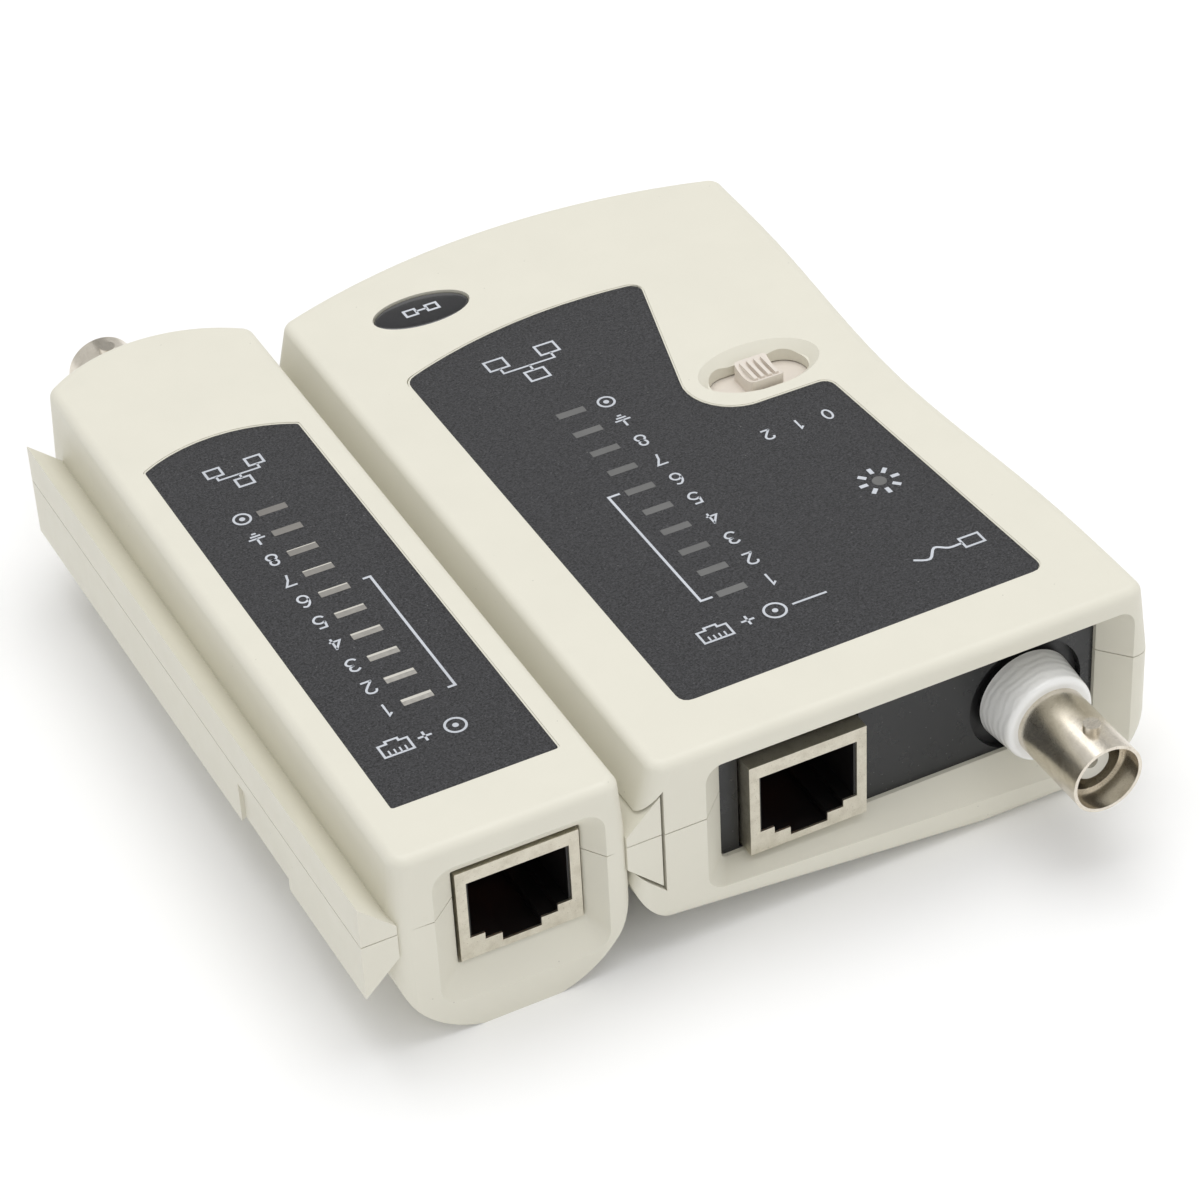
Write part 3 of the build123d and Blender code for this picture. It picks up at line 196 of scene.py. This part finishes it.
# Label film: embossed leather grain whose tone follows the relief: paler crests are a painted highlight and
# darker valleys painted shade, with small painted glints.
label = Graph("label_film")
pebble = label.cells(0.6, "SMOOTH_F1")
ripple = label.noise(0.3, 2.0, 0.7)
# Painted highlight: small pale glints scattered over the grain.
painted_glints = label.ramp(label.noise(0.2, 1.0), 0.62, 0.78, 0.0, 0.6)
label_tone = label.mix(label.ramp(ripple, 0.36, 0.64), srgb(16, 16, 18), srgb(60, 60, 63))
label_tone = label.mix(painted_glints, label_tone, srgb(104, 104, 108))
label_tone = label.mix(label.ramp(label.cells(2.1), 0.05, 0.03), label_tone, srgb(118, 118, 116))
label.surface(label_tone, label.ramp(label.noise(0.8), 0.3, 0.7, 0.4, 0.52))
label.bump(label.math("ADD", label.math("MULTIPLY", pebble, -0.5), ripple), 0.4)

printed = plastic("label_print", srgb(200, 204, 211), (0.5, 0.6), 0.35, 0.04, 0.14, 0.3)
badge_look = plastic("badge_gloss", srgb(34, 34, 36), (0.12, 0.2), 1.2, 0.002, 0.2, 0.2, 0.8)

# LED bars: cloudy grey windows; on the remote a painted highlight makes them paler towards the connectors.
bars = plastic("led_window", srgb(108, 108, 107), (0.28, 0.42), 0.22, 0.008, 0.15, 0.3)
remote_bars = plastic("remote_led_window_painted_light", srgb(120, 117, 110), (0.28, 0.42), 0.22, 0.008, 0.15, 0.3)
# Painted highlight: the remote's bars are made paler the nearer they are to the connectors.
painted_light_nearness = remote_bars.ramp(remote_bars.axis(1), 12 * MM, -33 * MM)
cloud = remote_bars.ramp(remote_bars.noise(0.8, 2.0), 0.3, 0.7)
painted_lit_tone = remote_bars.mix(cloud, srgb(150, 147, 141), srgb(172, 169, 162))
remote_bars.tint(remote_bars.mix(painted_light_nearness, srgb(122, 119, 115), painted_lit_tone))
# Painted highlight: pale strips on the far edges of the remote's bars.
bar_edge_highlight = plastic("led_edge_painted_highlight", srgb(204, 201, 192), (0.3, 0.4), 0.2, 0.004, 0.08, 0.2)

# Metal of the coaxial barrels and of the modular sockets' shields.
nickel = metal("nickel_plate", srgb(228, 221, 208), srgb(150, 136, 112), (0.2, 0.34), (1, 7, 1), 0.002, 0.25)
steel = metal("tinned_steel", srgb(216, 211, 196), srgb(150, 140, 118), (0.34, 0.5), (5, 1, 1), 0.004, 0.3)

# White collar with wandering ridges round its axis.
RIDGE_PITCH = 1.05 * MM
collar = plastic("collar_white", srgb(243, 243, 241), (0.14, 0.24), 0.5, 0.004, 0.03, 0.25, 0.3)
turns = collar.math("MULTIPLY", collar.axis(1), 2 * math.pi / RIDGE_PITCH)
wander = collar.math("MULTIPLY", collar.noise(3.0, 3.0), 9.0)
layers = collar.math("SINE", collar.math("ADD", turns, wander))
collar.bump(layers, 0.014)

# Painted reflection: a red-brown block deep in each modular socket stands for the glint of its contacts.
contact_glint_look = plastic("contact_painted_glint", srgb(132, 72, 50), (0.25, 0.4), 0.3, 0.01, 0.3, 0.2)

# Circuit boards with paler tracks.
board = plastic("board_green", srgb(24, 74, 42), (0.25, 0.4), 0.6, 0.01, 0.25, 0.3, 0.4)
tracks = board.ramp(board.cells(2.4, "DISTANCE_TO_EDGE", board.scaled(1, 0.45, 1)), 0.1, 0.06)
board.tint(board.mix(tracks, srgb(20, 66, 36), srgb(52, 108, 58)))

# Resistors: the X of each colour ring, and the rings' half width.
TAN = srgb(196, 168, 122)
RINGS = (
    (1.9, srgb(92, 52, 26)),
    (3.0, srgb(28, 26, 26)),
    (4.1, srgb(190, 40, 26)),
    (5.6, srgb(176, 140, 50)),
)
RING_HALF = 0.35 * MM
resistor = plastic("resistor_body", TAN, (0.35, 0.5), 0.2, 0.006, 0.1, 0.2)
along = resistor.axis(0)
resistor_tone = TAN
for ring_x, ring_color in RINGS:
    resistor_tone = resistor.mix(resistor.band(along, ring_x * MM, RING_HALF), resistor_tone, ring_color)
resistor.tint(resistor_tone)

# Diodes with a pale ring at one end.
DIODE_RING_X = -32.1 * MM
BLACK = srgb(28, 27, 28)
diode = plastic("diode_body", BLACK, (0.3, 0.45), 0.2, 0.006, 0.1, 0.2)
diode.tint(diode.mix(diode.band(diode.axis(0), DIODE_RING_X, RING_HALF), BLACK, srgb(188, 188, 184)))

# Capacitors with a pale stripe down one side.
STRIPE_X = 34.1 * MM
STRIPE_HALF = 0.5 * MM
NAVY = srgb(24, 34, 66)
sleeve = plastic("capacitor_sleeve", NAVY, (0.3, 0.42), 0.4, 0.008, 0.12, 0.2)
sleeve.tint(sleeve.mix(sleeve.band(sleeve.axis(0), STRIPE_X, STRIPE_HALF), NAVY, srgb(172, 176, 180)))

# Battery with a brass-coloured band round its case.
BAND_X = 4.0 * MM
BAND_HALF = 9.0 * MM
CASE_GREY = srgb(40, 42, 46)
battery = plastic("battery_case", CASE_GREY, (0.3, 0.45), 0.5, 0.01, 0.2, 0.4)
battery.tint(battery.mix(battery.band(battery.axis(0), BAND_X, BAND_HALF), CASE_GREY, srgb(178, 140, 62)))

looks = {
    "ivory_plastic": ivory,
    "label_film": label,
    "badge_gloss": badge_look,
    "led_window": bars,
    "switch_ivory": knob,
    "switch_frame": metal("switch_frame", srgb(176, 176, 172), srgb(110, 106, 98), (0.3, 0.45), (1, 5, 1)),
    "panel_grey": panel,
    "tinned_steel": steel,
    "insert_black": plastic("insert_black", srgb(17, 16, 16), (0.32, 0.46), 0.25, 0.008, 0.2, 0.0),
    "contact_gold": metal("contact_gold", srgb(206, 122, 80), srgb(120, 46, 26), (0.4, 0.55), (1, 4, 1)),
    "nickel_plate": nickel,
    # Near-black washer: painted shade, standing for the dark of the panel hole round the collar.
    "washer_black": plastic("washer_black", srgb(24, 24, 25), (0.35, 0.5), 0.3, 0.01, 0.2, 0.4),
    "collar_white": collar,
    "dielectric_white": plastic("dielectric_white", srgb(228, 226, 216), (0.35, 0.5), 0.3, 0.008, 0.06, 0.3),
    "board_green": board,
    "chip_black": plastic("chip_black", srgb(26, 26, 28), (0.4, 0.55), 0.15, 0.01, 0.15, 0.3),
    "resistor_body": resistor,
    "diode_body": diode,
    "capacitor_sleeve": sleeve,
    "battery_case": battery,
    "snap_black": plastic("snap_black", srgb(24, 24, 26), (0.42, 0.58), 0.3, 0.012, 0.2, 0.4),
    "wire_red": plastic("wire_red", srgb(170, 26, 22), (0.32, 0.45), 0.3, 0.006, 0.12, 0.3),
    "wire_black": plastic("wire_black", srgb(22, 22, 24), (0.32, 0.45), 0.3, 0.006, 0.12, 0.3),
    "screw_steel": metal("screw_steel", srgb(150, 150, 150), srgb(84, 80, 74), (0.28, 0.44), (3, 3, 1)),
}
slot_of = {s["node"]: s["material_slot"] for s in frame["record"]["subparts"]}
for name, obj in nodes.items():
    look = remote_bars if name == "remote_leds" else looks[slot_of[name]]
    obj.data.materials.clear()
    obj.data.materials.append(look.material)


# ------------------------------------------------------------------ pieces of the two faces
# Places on the faces, in millimetres.
LED_PITCH = 4.816
LED_COUNT = 10
NUMBERED = 8  # bars that have a numeral beside them
MASTER_BARS = (8.84, -32.25)  # centre of the bar nearest the connectors
REMOTE_BARS = (-33.36, -31.56)
MASTER_NUMERALS_X = 13.9
REMOTE_NUMERALS_X = -37.5
POWER_LED = (35.7, -22.15)
BADGE = (2.2, 42.9)
BADGE_HALF = (6.9, 3.6)

PRINT_Z = 28.85  # upper face of the label film
PRINT_T = 0.02
LENS_HALF = (1.99, 0.61)
LENS_Z = 28.725
LENS_TOP = 28.855
LIP_MIDDLE = 0.125  # from a label's edge to the middle of its rim
LIP_W = 0.2
LIP_Z = 28.56
LIP_T = 0.36


def piece_object(name, mesh_builder, look, body):
    """New object from a bmesh that a function fills in, in millimetres."""
    bm = bmesh.new()
    mesh_builder(bm)
    bmesh.ops.recalc_face_normals(bm, faces=bm.faces)
    bmesh.ops.scale(bm, vec=(MM, MM, MM), verts=bm.verts)
    mesh = bpy.data.meshes.new(name)
    bm.to_mesh(mesh)
    bm.free()
    mesh.materials.append(look.material)
    obj = bpy.data.objects.new(name, mesh)
    bpy.context.scene.collection.objects.link(obj)
    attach(obj, body)
    return obj


def prism(bm, outline, z0, z1):
    """Closed solid between two heights over a plan outline."""
    lower = [bm.verts.new((x, y, z0)) for x, y in outline]
    upper = [bm.verts.new((x, y, z1)) for x, y in outline]
    bm.faces.new(lower)
    bm.faces.new(upper)
    for i in range(len(outline)):
        j = (i + 1) % len(outline)
        bm.faces.new((lower[i], lower[j], upper[j], upper[i]))


def offset_points(points, distance, closed):
    """Points moved sideways from the stroke's centre line, mitred at corners."""
    moved = []
    count = len(points)
    for i, point in enumerate(points):
        before = points[i - 1] if i or closed else None
        after = points[(i + 1) % count] if i < count - 1 or closed else None
        steps = []
        if before is not None:
            steps.append((Vector(point) - Vector(before)).normalized())
        if after is not None:
            steps.append((Vector(after) - Vector(point)).normalized())
        normals = [Vector((-s.y, s.x)) for s in steps]
        mean = sum(normals, Vector((0, 0))).normalized()
        moved.append(Vector(point) + mean * distance / max(0.5, mean.dot(normals[0])))
    return moved


def stroke(bm, points, width, z=PRINT_Z, closed=False, thickness=PRINT_T):
    """Flat line along a run of points."""
    left = offset_points(points, width / 2, closed)
    right = offset_points(points, -width / 2, closed)
    rows = []
    for a, b in zip(left, right):
        rows.append([bm.verts.new((a.x, a.y, z)), bm.verts.new((b.x, b.y, z)),
                     bm.verts.new((b.x, b.y, z + thickness)), bm.verts.new((a.x, a.y, z + thickness))])
    links = len(rows) if closed else len(rows) - 1
    for i in range(links):
        a, b = rows[i], rows[(i + 1) % len(rows)]
        for k in range(4):
            m = (k + 1) % 4
            bm.faces.new((a[k], a[m], b[m], b[k]))
    if not closed:
        bm.faces.new(rows[0])
        bm.faces.new(rows[-1])


def rounded(points, steps=4):
    """Smooth run through a few points."""
    ends = [points[0]] + list(points) + [points[-1]]
    run = []
    for i in range(1, len(ends) - 2):
        p0, p1, p2, p3 = (Vector(p) for p in ends[i - 1:i + 3])
        for s in range(steps):
            t = s / steps
            run.append(0.5 * (2 * p1 + (p2 - p0) * t + (2 * p0 - 5 * p1 + 4 * p2 - p3) * t * t
                              + (3 * p1 - p0 - 3 * p2 + p3) * t ** 3))
    run.append(Vector(points[-1]))
    return run


def oval(centre, rx, ry, count=24):
    """Points round an ellipse."""
    points = []
    for i in range(count):
        angle = 2 * math.pi * i / count
        points.append(Vector((centre[0] + rx * math.cos(angle), centre[1] + ry * math.sin(angle))))
    return points


# Strokes of the numerals in a cell 1 wide and 1.6 high: points, smooth, closed.
CELL_H = 1.6
LOWER_END = [(0.6, 0.0), (0.2, 0.04), (0.0, 0.26)]  # shared by 3 and 5
NUMERALS = {
    0: [(oval((0.5, 0.8), 0.46, 0.8), False, True)],
    1: [([(0.22, 1.28), (0.55, 1.6), (0.55, 0.0)], False, False)],
    2: [([(0.03, 1.2), (0.15, 1.5), (0.5, 1.62), (0.86, 1.47), (0.93, 1.15), (0.72, 0.8), (0.05, 0.02)],
         True, False),
        ([(0.0, 0.02), (1.0, 0.02)], False, False)],
    3: [([(0.04, 1.38), (0.45, 1.62), (0.86, 1.42), (0.82, 1.03), (0.4, 0.86)], True, False),
        ([(0.4, 0.86), (0.86, 0.72), (0.96, 0.36)] + LOWER_END, True, False)],
    4: [([(0.74, 0.0), (0.74, 1.6)], False, False),
        ([(0.74, 1.5), (0.05, 0.46), (1.02, 0.46)], False, False)],
    5: [([(0.9, 1.6), (0.2, 1.6), (0.1, 0.84)], False, False),
        ([(0.1, 0.84), (0.5, 0.98), (0.9, 0.76), (0.94, 0.36)] + LOWER_END, True, False)],
    6: [([(0.88, 1.5), (0.5, 1.6), (0.14, 1.2), (0.04, 0.6)], True, False),
        (oval((0.5, 0.48), 0.46, 0.48), False, True)],
    7: [([(0.0, 1.6), (1.0, 1.6), (0.56, 0.8), (0.4, 0.0)], False, False)],
    8: [(oval((0.5, 1.2), 0.37, 0.38), False, True), (oval((0.5, 0.42), 0.46, 0.42), False, True)],
}


def numeral(bm, digit, centre, height=2.3, width=0.3):
    """Numeral whose top points towards -Y, as all the printing does."""
    size = height / CELL_H
    for points, smooth, closed in NUMERALS[digit]:
        run = rounded(points) if smooth else points
        placed = []
        for u, v in run:
            placed.append((centre[0] - (u - 0.5) * size, centre[1] - (v - CELL_H / 2) * size))
        stroke(bm, placed, width, closed=closed)


def around(x, y, offsets, size=1.0):
    """Points given as offsets from a centre."""
    return [(x + dx * size, y + dy * size) for dx, dy in offsets]


def ground_symbol(bm, x, y):
    """Stem over three bars that get shorter."""
    stroke(bm, [(x, y - 1.3), (x, y + 0.1)], 0.32)
    for drop, half in ((0.1, 1.1), (0.65, 0.7), (1.2, 0.3)):
        stroke(bm, [(x - half, y + drop), (x + half, y + drop)], 0.3)


def coax_symbol(bm, x, y, radius=1.1):
    """Coaxial socket from its end: a ring round a dot."""
    stroke(bm, oval((x, y), radius, radius), 0.32, closed=True)
    prism(bm, oval((x, y), 0.4, 0.4, 12), PRINT_Z, PRINT_Z + PRINT_T)


def socket_symbol(bm, x, y, half=1.7):
    """Outline of a modular socket with its latch notch towards +Y and four contact ticks."""
    stroke(bm, around(x, y, [(-half, -1.3), (half, -1.3), (half, 0.9), (0.8, 0.9), (0.8, 1.4), (-0.8, 1.4),
                             (-0.8, 0.9), (-half, 0.9)]), 0.3, closed=True)
    for i in range(4):
        tick = x + (i - 1.5) * 0.72
        stroke(bm, [(tick, y - 1.2), (tick, y - 0.3)], 0.22)


def plus_symbol(bm, x, y):
    """Plus sign."""
    stroke(bm, [(x - 0.9, y), (x + 0.9, y)], 0.32)
    stroke(bm, [(x, y - 0.9), (x, y + 0.9)], 0.32)


def network_symbol(bm, x, y, size=1.0):
    """Three small squares joined by lines."""
    square = [(-1.1, -0.9), (1.1, -0.9), (1.1, 0.9), (-1.1, 0.9)]
    for dx, dy in ((0, -2.2), (-3.0, 1.6), (3.0, 1.6)):
        stroke(bm, around(x + dx * size, y + dy * size, square, size), 0.34, closed=True)
    stroke(bm, around(x, y, [(0, -1.3), (0, -0.3)], size), 0.3)
    stroke(bm, around(x, y, [(-3.0, 0.7), (-3.0, -0.3), (3.0, -0.3), (3.0, 0.7)], size), 0.3)


def bracket(bm, x, y0, y1, tick_x):
    """Line beside the numbered bars, turned in at both ends."""
    stroke(bm, [(tick_x, y0), (x, y0), (x, y1), (tick_x, y1)], 0.35)


def rays(bm, centre):
    """Eight dashes round the power LED."""
    start = Vector(centre)
    for i in range(8):
        angle = math.pi * i / 4
        ray = Vector((math.cos(angle), math.sin(angle)))
        stroke(bm, [start + ray * 1.7, start + ray * 2.85], 0.6)


def row_marks(bm, x, first_y, numeral_drop, symbol_drop):
    """Numerals beside the numbered bars and symbols beside the last two."""
    for i in range(NUMBERED):
        numeral(bm, i + 1, (x, first_y - numeral_drop + LED_PITCH * i))
    ground_symbol(bm, x, first_y - symbol_drop + LED_PITCH * NUMBERED)
    coax_symbol(bm, x, first_y - symbol_drop + LED_PITCH * (NUMBERED + 1))


def master_printing(bm):
    """Marks on the master's label."""
    row_marks(bm, MASTER_NUMERALS_X, MASTER_BARS[1], 0.5, 0.15)
    bracket(bm, 4.5, -32.35, -7.85, 6.1)
    socket_symbol(bm, 3.0, -38.6, 2.0)
    plus_symbol(bm, 7.6, -38.5)
    coax_symbol(bm, 11.4, -38.5, 1.4)
    stroke(bm, [(13.8, -38.5), (18.6, -38.5)], 0.32)
    # A plug, and the cable that leaves it.
    stroke(bm, [(40.6, -39.5), (37.9, -39.5), (37.9, -37.6), (40.6, -37.6)], 0.32, closed=True)
    stroke(bm, rounded([(37.9, -38.5), (36.0, -38.5), (34.4, -37.6), (32.8, -39.3), (30.9, -38.5)]), 0.36)
    rays(bm, POWER_LED)
    for digit, x in ((0, 37.3), (1, 33.0), (2, 28.5)):
        numeral(bm, digit, (x, -6.25), 2.0, 0.3)
    network_symbol(bm, 9.0, 24.0, 1.25)


def remote_printing(bm):
    """Marks on the remote's label."""
    row_marks(bm, REMOTE_NUMERALS_X, REMOTE_BARS[1], 0.2, 0.04)
    bracket(bm, -28.4, -31.65, -7.25, -29.4)
    socket_symbol(bm, -39.4, -38.4, 1.9)
    plus_symbol(bm, -35.6, -38.4)
    coax_symbol(bm, -31.6, -38.4, 1.3)
    network_symbol(bm, -34.0, 21.2, 0.95)


def rectangle(x0, y0, x1, y1):
    """Corners of a rectangle in plan."""
    return [(x0, y0), (x1, y0), (x1, y1), (x0, y1)]


def windows(bm, first):
    """Lenses that fill the label's windows over a column of bars."""
    x, first_y = first
    half_x, half_y = LENS_HALF
    for i in range(LED_COUNT):
        y = first_y + LED_PITCH * i
        prism(bm, rectangle(x - half_x, y - half_y, x + half_x, y + half_y), LENS_Z, LENS_TOP)


def master_windows(bm):
    """Lenses over the master's bars and a round one over its power LED."""
    windows(bm, MASTER_BARS)
    prism(bm, oval(POWER_LED, 0.96, 0.96), LENS_Z, 28.86)


def remote_windows(bm):
    """Lenses over the remote's bars."""
    windows(bm, REMOTE_BARS)


def remote_edge_highlights(bm):
    """Pale strips at the far edge of each bar, a painted highlight standing for the lit sides of the LED
    bodies, widest on the bars nearest the connectors.
    """
    for i in range(NUMBERED):
        y = REMOTE_BARS[1] + LED_PITCH * i + 0.6
        width = 0.46 - 0.045 * i
        prism(bm, rectangle(-35.3, y - width, -31.4, y), 28.856, 28.87)


def arc(start, through, end, steps=10):
    """Points of the circular arc through three points, without the last."""
    ax, ay, bx, by, cx, cy = *start, *through, *end
    d = 2 * (ax * (by - cy) + bx * (cy - ay) + cx * (ay - by))
    a2, b2, c2 = ax * ax + ay * ay, bx * bx + by * by, cx * cx + cy * cy
    centre = Vector(((a2 * (by - cy) + b2 * (cy - ay) + c2 * (ay - by)) / d,
                     (a2 * (cx - bx) + b2 * (ax - cx) + c2 * (bx - ax)) / d))
    first = Vector(start) - centre
    turn = first.angle_signed(Vector(end) - centre)
    return [centre + Matrix.Rotation(-turn * i / steps, 2) @ first for i in range(steps)]


def soft_corners(points, soft, radius):
    """Outline whose soft corners, given by their places in it, are cut back to short curves."""
    run = []
    for i, point in enumerate(points):
        here = Vector(point)
        if i not in soft:
            run.append(here)
            continue
        before = (Vector(points[i - 1]) - here).normalized() * radius
        after = (Vector(points[(i + 1) % len(points)]) - here).normalized() * radius
        for t in (0.0, 0.25, 0.5, 0.75, 1.0):
            run.append(here + before * (1 - t) ** 2 + after * t ** 2)
    return run


def lip(bm, outline):
    """Pale rim that fills the gap between a label and the edge of its recess."""
    stroke(bm, offset_points(outline, -LIP_MIDDLE, True), LIP_W, LIP_Z, True, LIP_T)


def master_lip(bm):
    """Rim of the master's label, which is notched beside the switch."""
    notch = arc((31.5, 0.6), (25.4, 3.2), (24.2, 9.8))
    crown = arc((30.6, 33.4), (12.0, 33.7), (-6.7, 28.6))
    points = [(-6.7, 28.6), (-6.7, -48.4), (43.9, -47.9), (41.4, 0.6)] + notch + [(24.2, 9.8)] + crown
    lip(bm, soft_corners(points, (0, 1, 2, 3, 5 + len(notch)), 1.7))


def remote_lip(bm):
    """Rim of the remote's label."""
    crown = arc((-23.0, 27.2), (-34.0, 30.2), (-44.5, 27.2))
    points = [(-44.5, 27.2), (-44.5, -48.3), (-23.0, -48.3)] + crown
    lip(bm, soft_corners(points, (0, 1, 2, 3), 0.4))


def contact_painted_glint(x, face_y):
    """Builder of the red-brown block at the back of a modular socket's cavity, a painted reflection of the
    contacts' glint.
    """
    def build(bm):
        prism(bm, rectangle(x - 4.2, face_y + 11.9, x + 4.2, face_y + 12.3), 11.2, 17.4)
    return build


piece_object("master_print", master_printing, printed, "master")
piece_object("remote_print", remote_printing, printed, "remote")
piece_object("master_windows", master_windows, bars, "master")
piece_object("remote_windows", remote_windows, remote_bars, "remote")
piece_object("remote_led_edge_highlights", remote_edge_highlights, bar_edge_highlight, "remote")
piece_object("master_contact_painted_glint", contact_painted_glint(6.08, -55.75), contact_glint_look, "master")
piece_object("remote_contact_painted_glint", contact_painted_glint(-32.24, -55.0), contact_glint_look, "remote")
piece_object("master_label_lip", master_lip, ivory, "master")
piece_object("remote_label_lip", remote_lip, ivory, "remote")


def badge_dome(bm):
    """Oval badge with a soft domed top and a rolled rim."""
    sides = 64
    # Reach from the centre, as a share of the half axes, and height.
    profile = [(1.0, 28.4), (1.0, 28.62), (0.985, 28.72), (0.95, 28.79), (0.88, 28.84), (0.7, 28.9),
               (0.45, 28.95), (0.2, 28.975)]
    rings = []
    for reach, z in profile:
        outline = oval(BADGE, BADGE_HALF[0] * reach, BADGE_HALF[1] * reach, sides)
        rings.append([bm.verts.new((p.x, p.y, z)) for p in outline])
    for a, b in zip(rings, rings[1:]):
        for i in range(sides):
            j = (i + 1) % sides
            bm.faces.new((a[i], a[j], b[j], b[i]))
    bm.faces.new(rings[-1])
    bm.faces.new(rings[0])


def badge_mark(bm):
    """Two small squares joined by a line, printed on the badge."""
    x, y = BADGE
    mark_z = 28.962
    for square_x in (x - 1.6, x + 1.6):
        stroke(bm, rectangle(square_x - 0.8, y - 0.7, square_x + 0.8, y + 0.7), 0.36, mark_z, True)
    stroke(bm, [(x - 0.8, y), (x + 0.8, y)], 0.36, mark_z)


piece_object("badge_mark", badge_mark, printed, "master")
dome = piece_object("badge_dome", badge_dome, badge_look, "master")
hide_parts("badge")
for face in dome.data.polygons:
    face.use_smooth = True

# ------------------------------------------------------------------ floor, light and camera, in metres


def staged_sheet(name, corners, look):
    """Flat sheet of the studio, which is no part of the object."""
    bm = bmesh.new()
    bm.faces.new([bm.verts.new(c) for c in corners])
    mesh = bpy.data.meshes.new(name)
    bm.to_mesh(mesh)
    bm.free()
    mesh.materials.append(look.material)
    obj = bpy.data.objects.new(name, mesh)
    bpy.context.scene.collection.objects.link(obj)


def paper(name, size_mm, detail, dark, pale):
    """Matt grey between two tones of linear reflectance."""
    g = Graph(name)
    g.surface(g.mix(g.noise(size_mm, detail), (dark, dark, dark, 1), (pale, pale, pale, 1)), 0.9)
    return g


REACH = 3.0  # half the width of the floor, in metres
floor_corners = [(-REACH, -REACH, 0), (REACH, -REACH, 0), (REACH, REACH, 0), (-REACH, REACH, 0)]
staged_sheet("floor", floor_corners, paper("floor", 40.0, 3.0, 0.95, 0.97))

# Grey card behind the object, for the shiny parts to mirror.
card_corners = [(0.0, 0.95, 0.42), (0.62, 0.66, 0.42), (0.52, 0.48, 0.78), (-0.1, 0.77, 0.78)]
staged_sheet("card", card_corners, paper("card", 60.0, 2.0, 0.3, 0.35))

world = bpy.data.worlds.new("studio")
bpy.context.scene.world = world
world.use_nodes = True
sky = world.node_tree.nodes["Background"]
sky.inputs["Color"].default_value = (1, 1, 1, 1)
sky.inputs["Strength"].default_value = 0.68


def area_light(name, place, target, size, power):
    """Rectangular soft light aimed at a target."""
    data = bpy.data.lights.new(name, "AREA")
    data.shape = "RECTANGLE"
    data.size, data.size_y = size
    data.energy = power
    light = bpy.data.objects.new(name, data)
    bpy.context.scene.collection.objects.link(light)
    light.location = place
    light.rotation_euler = (Vector(target) - Vector(place)).to_track_quat("-Z", "Y").to_euler()


area_light("key", (0.05, 0.1, 0.85), (0, 0, 0), (0.8, 0.8), 4.2)
area_light("fill", (0.15, -0.75, 0.4), (0, 0, 0), (0.7, 0.5), 0.6)

camera_data = bpy.data.cameras.new("camera")
camera_data.sensor_width = 36.0
camera_data.lens = 115.86
camera_data.clip_start = 0.02
camera = bpy.data.objects.new("camera", camera_data)
bpy.context.scene.collection.objects.link(camera)
# It stands off the connectors' end, to the left and above.
eye = Vector((-0.1647417, -0.3613917, 0.3197448))
right = Vector((0.8878595, -0.4580252, -0.0438007))
up = Vector((0.3137054, 0.5329527, 0.7858437))
back = right.cross(up)
camera.matrix_world = Matrix((
    (right.x, up.x, back.x, eye.x),
    (right.y, up.y, back.y, eye.y),
    (right.z, up.z, back.z, eye.z),
    (0, 0, 0, 1),
))
bpy.context.scene.camera = camera
bpy.context.scene.view_settings.view_transform = "Standard"
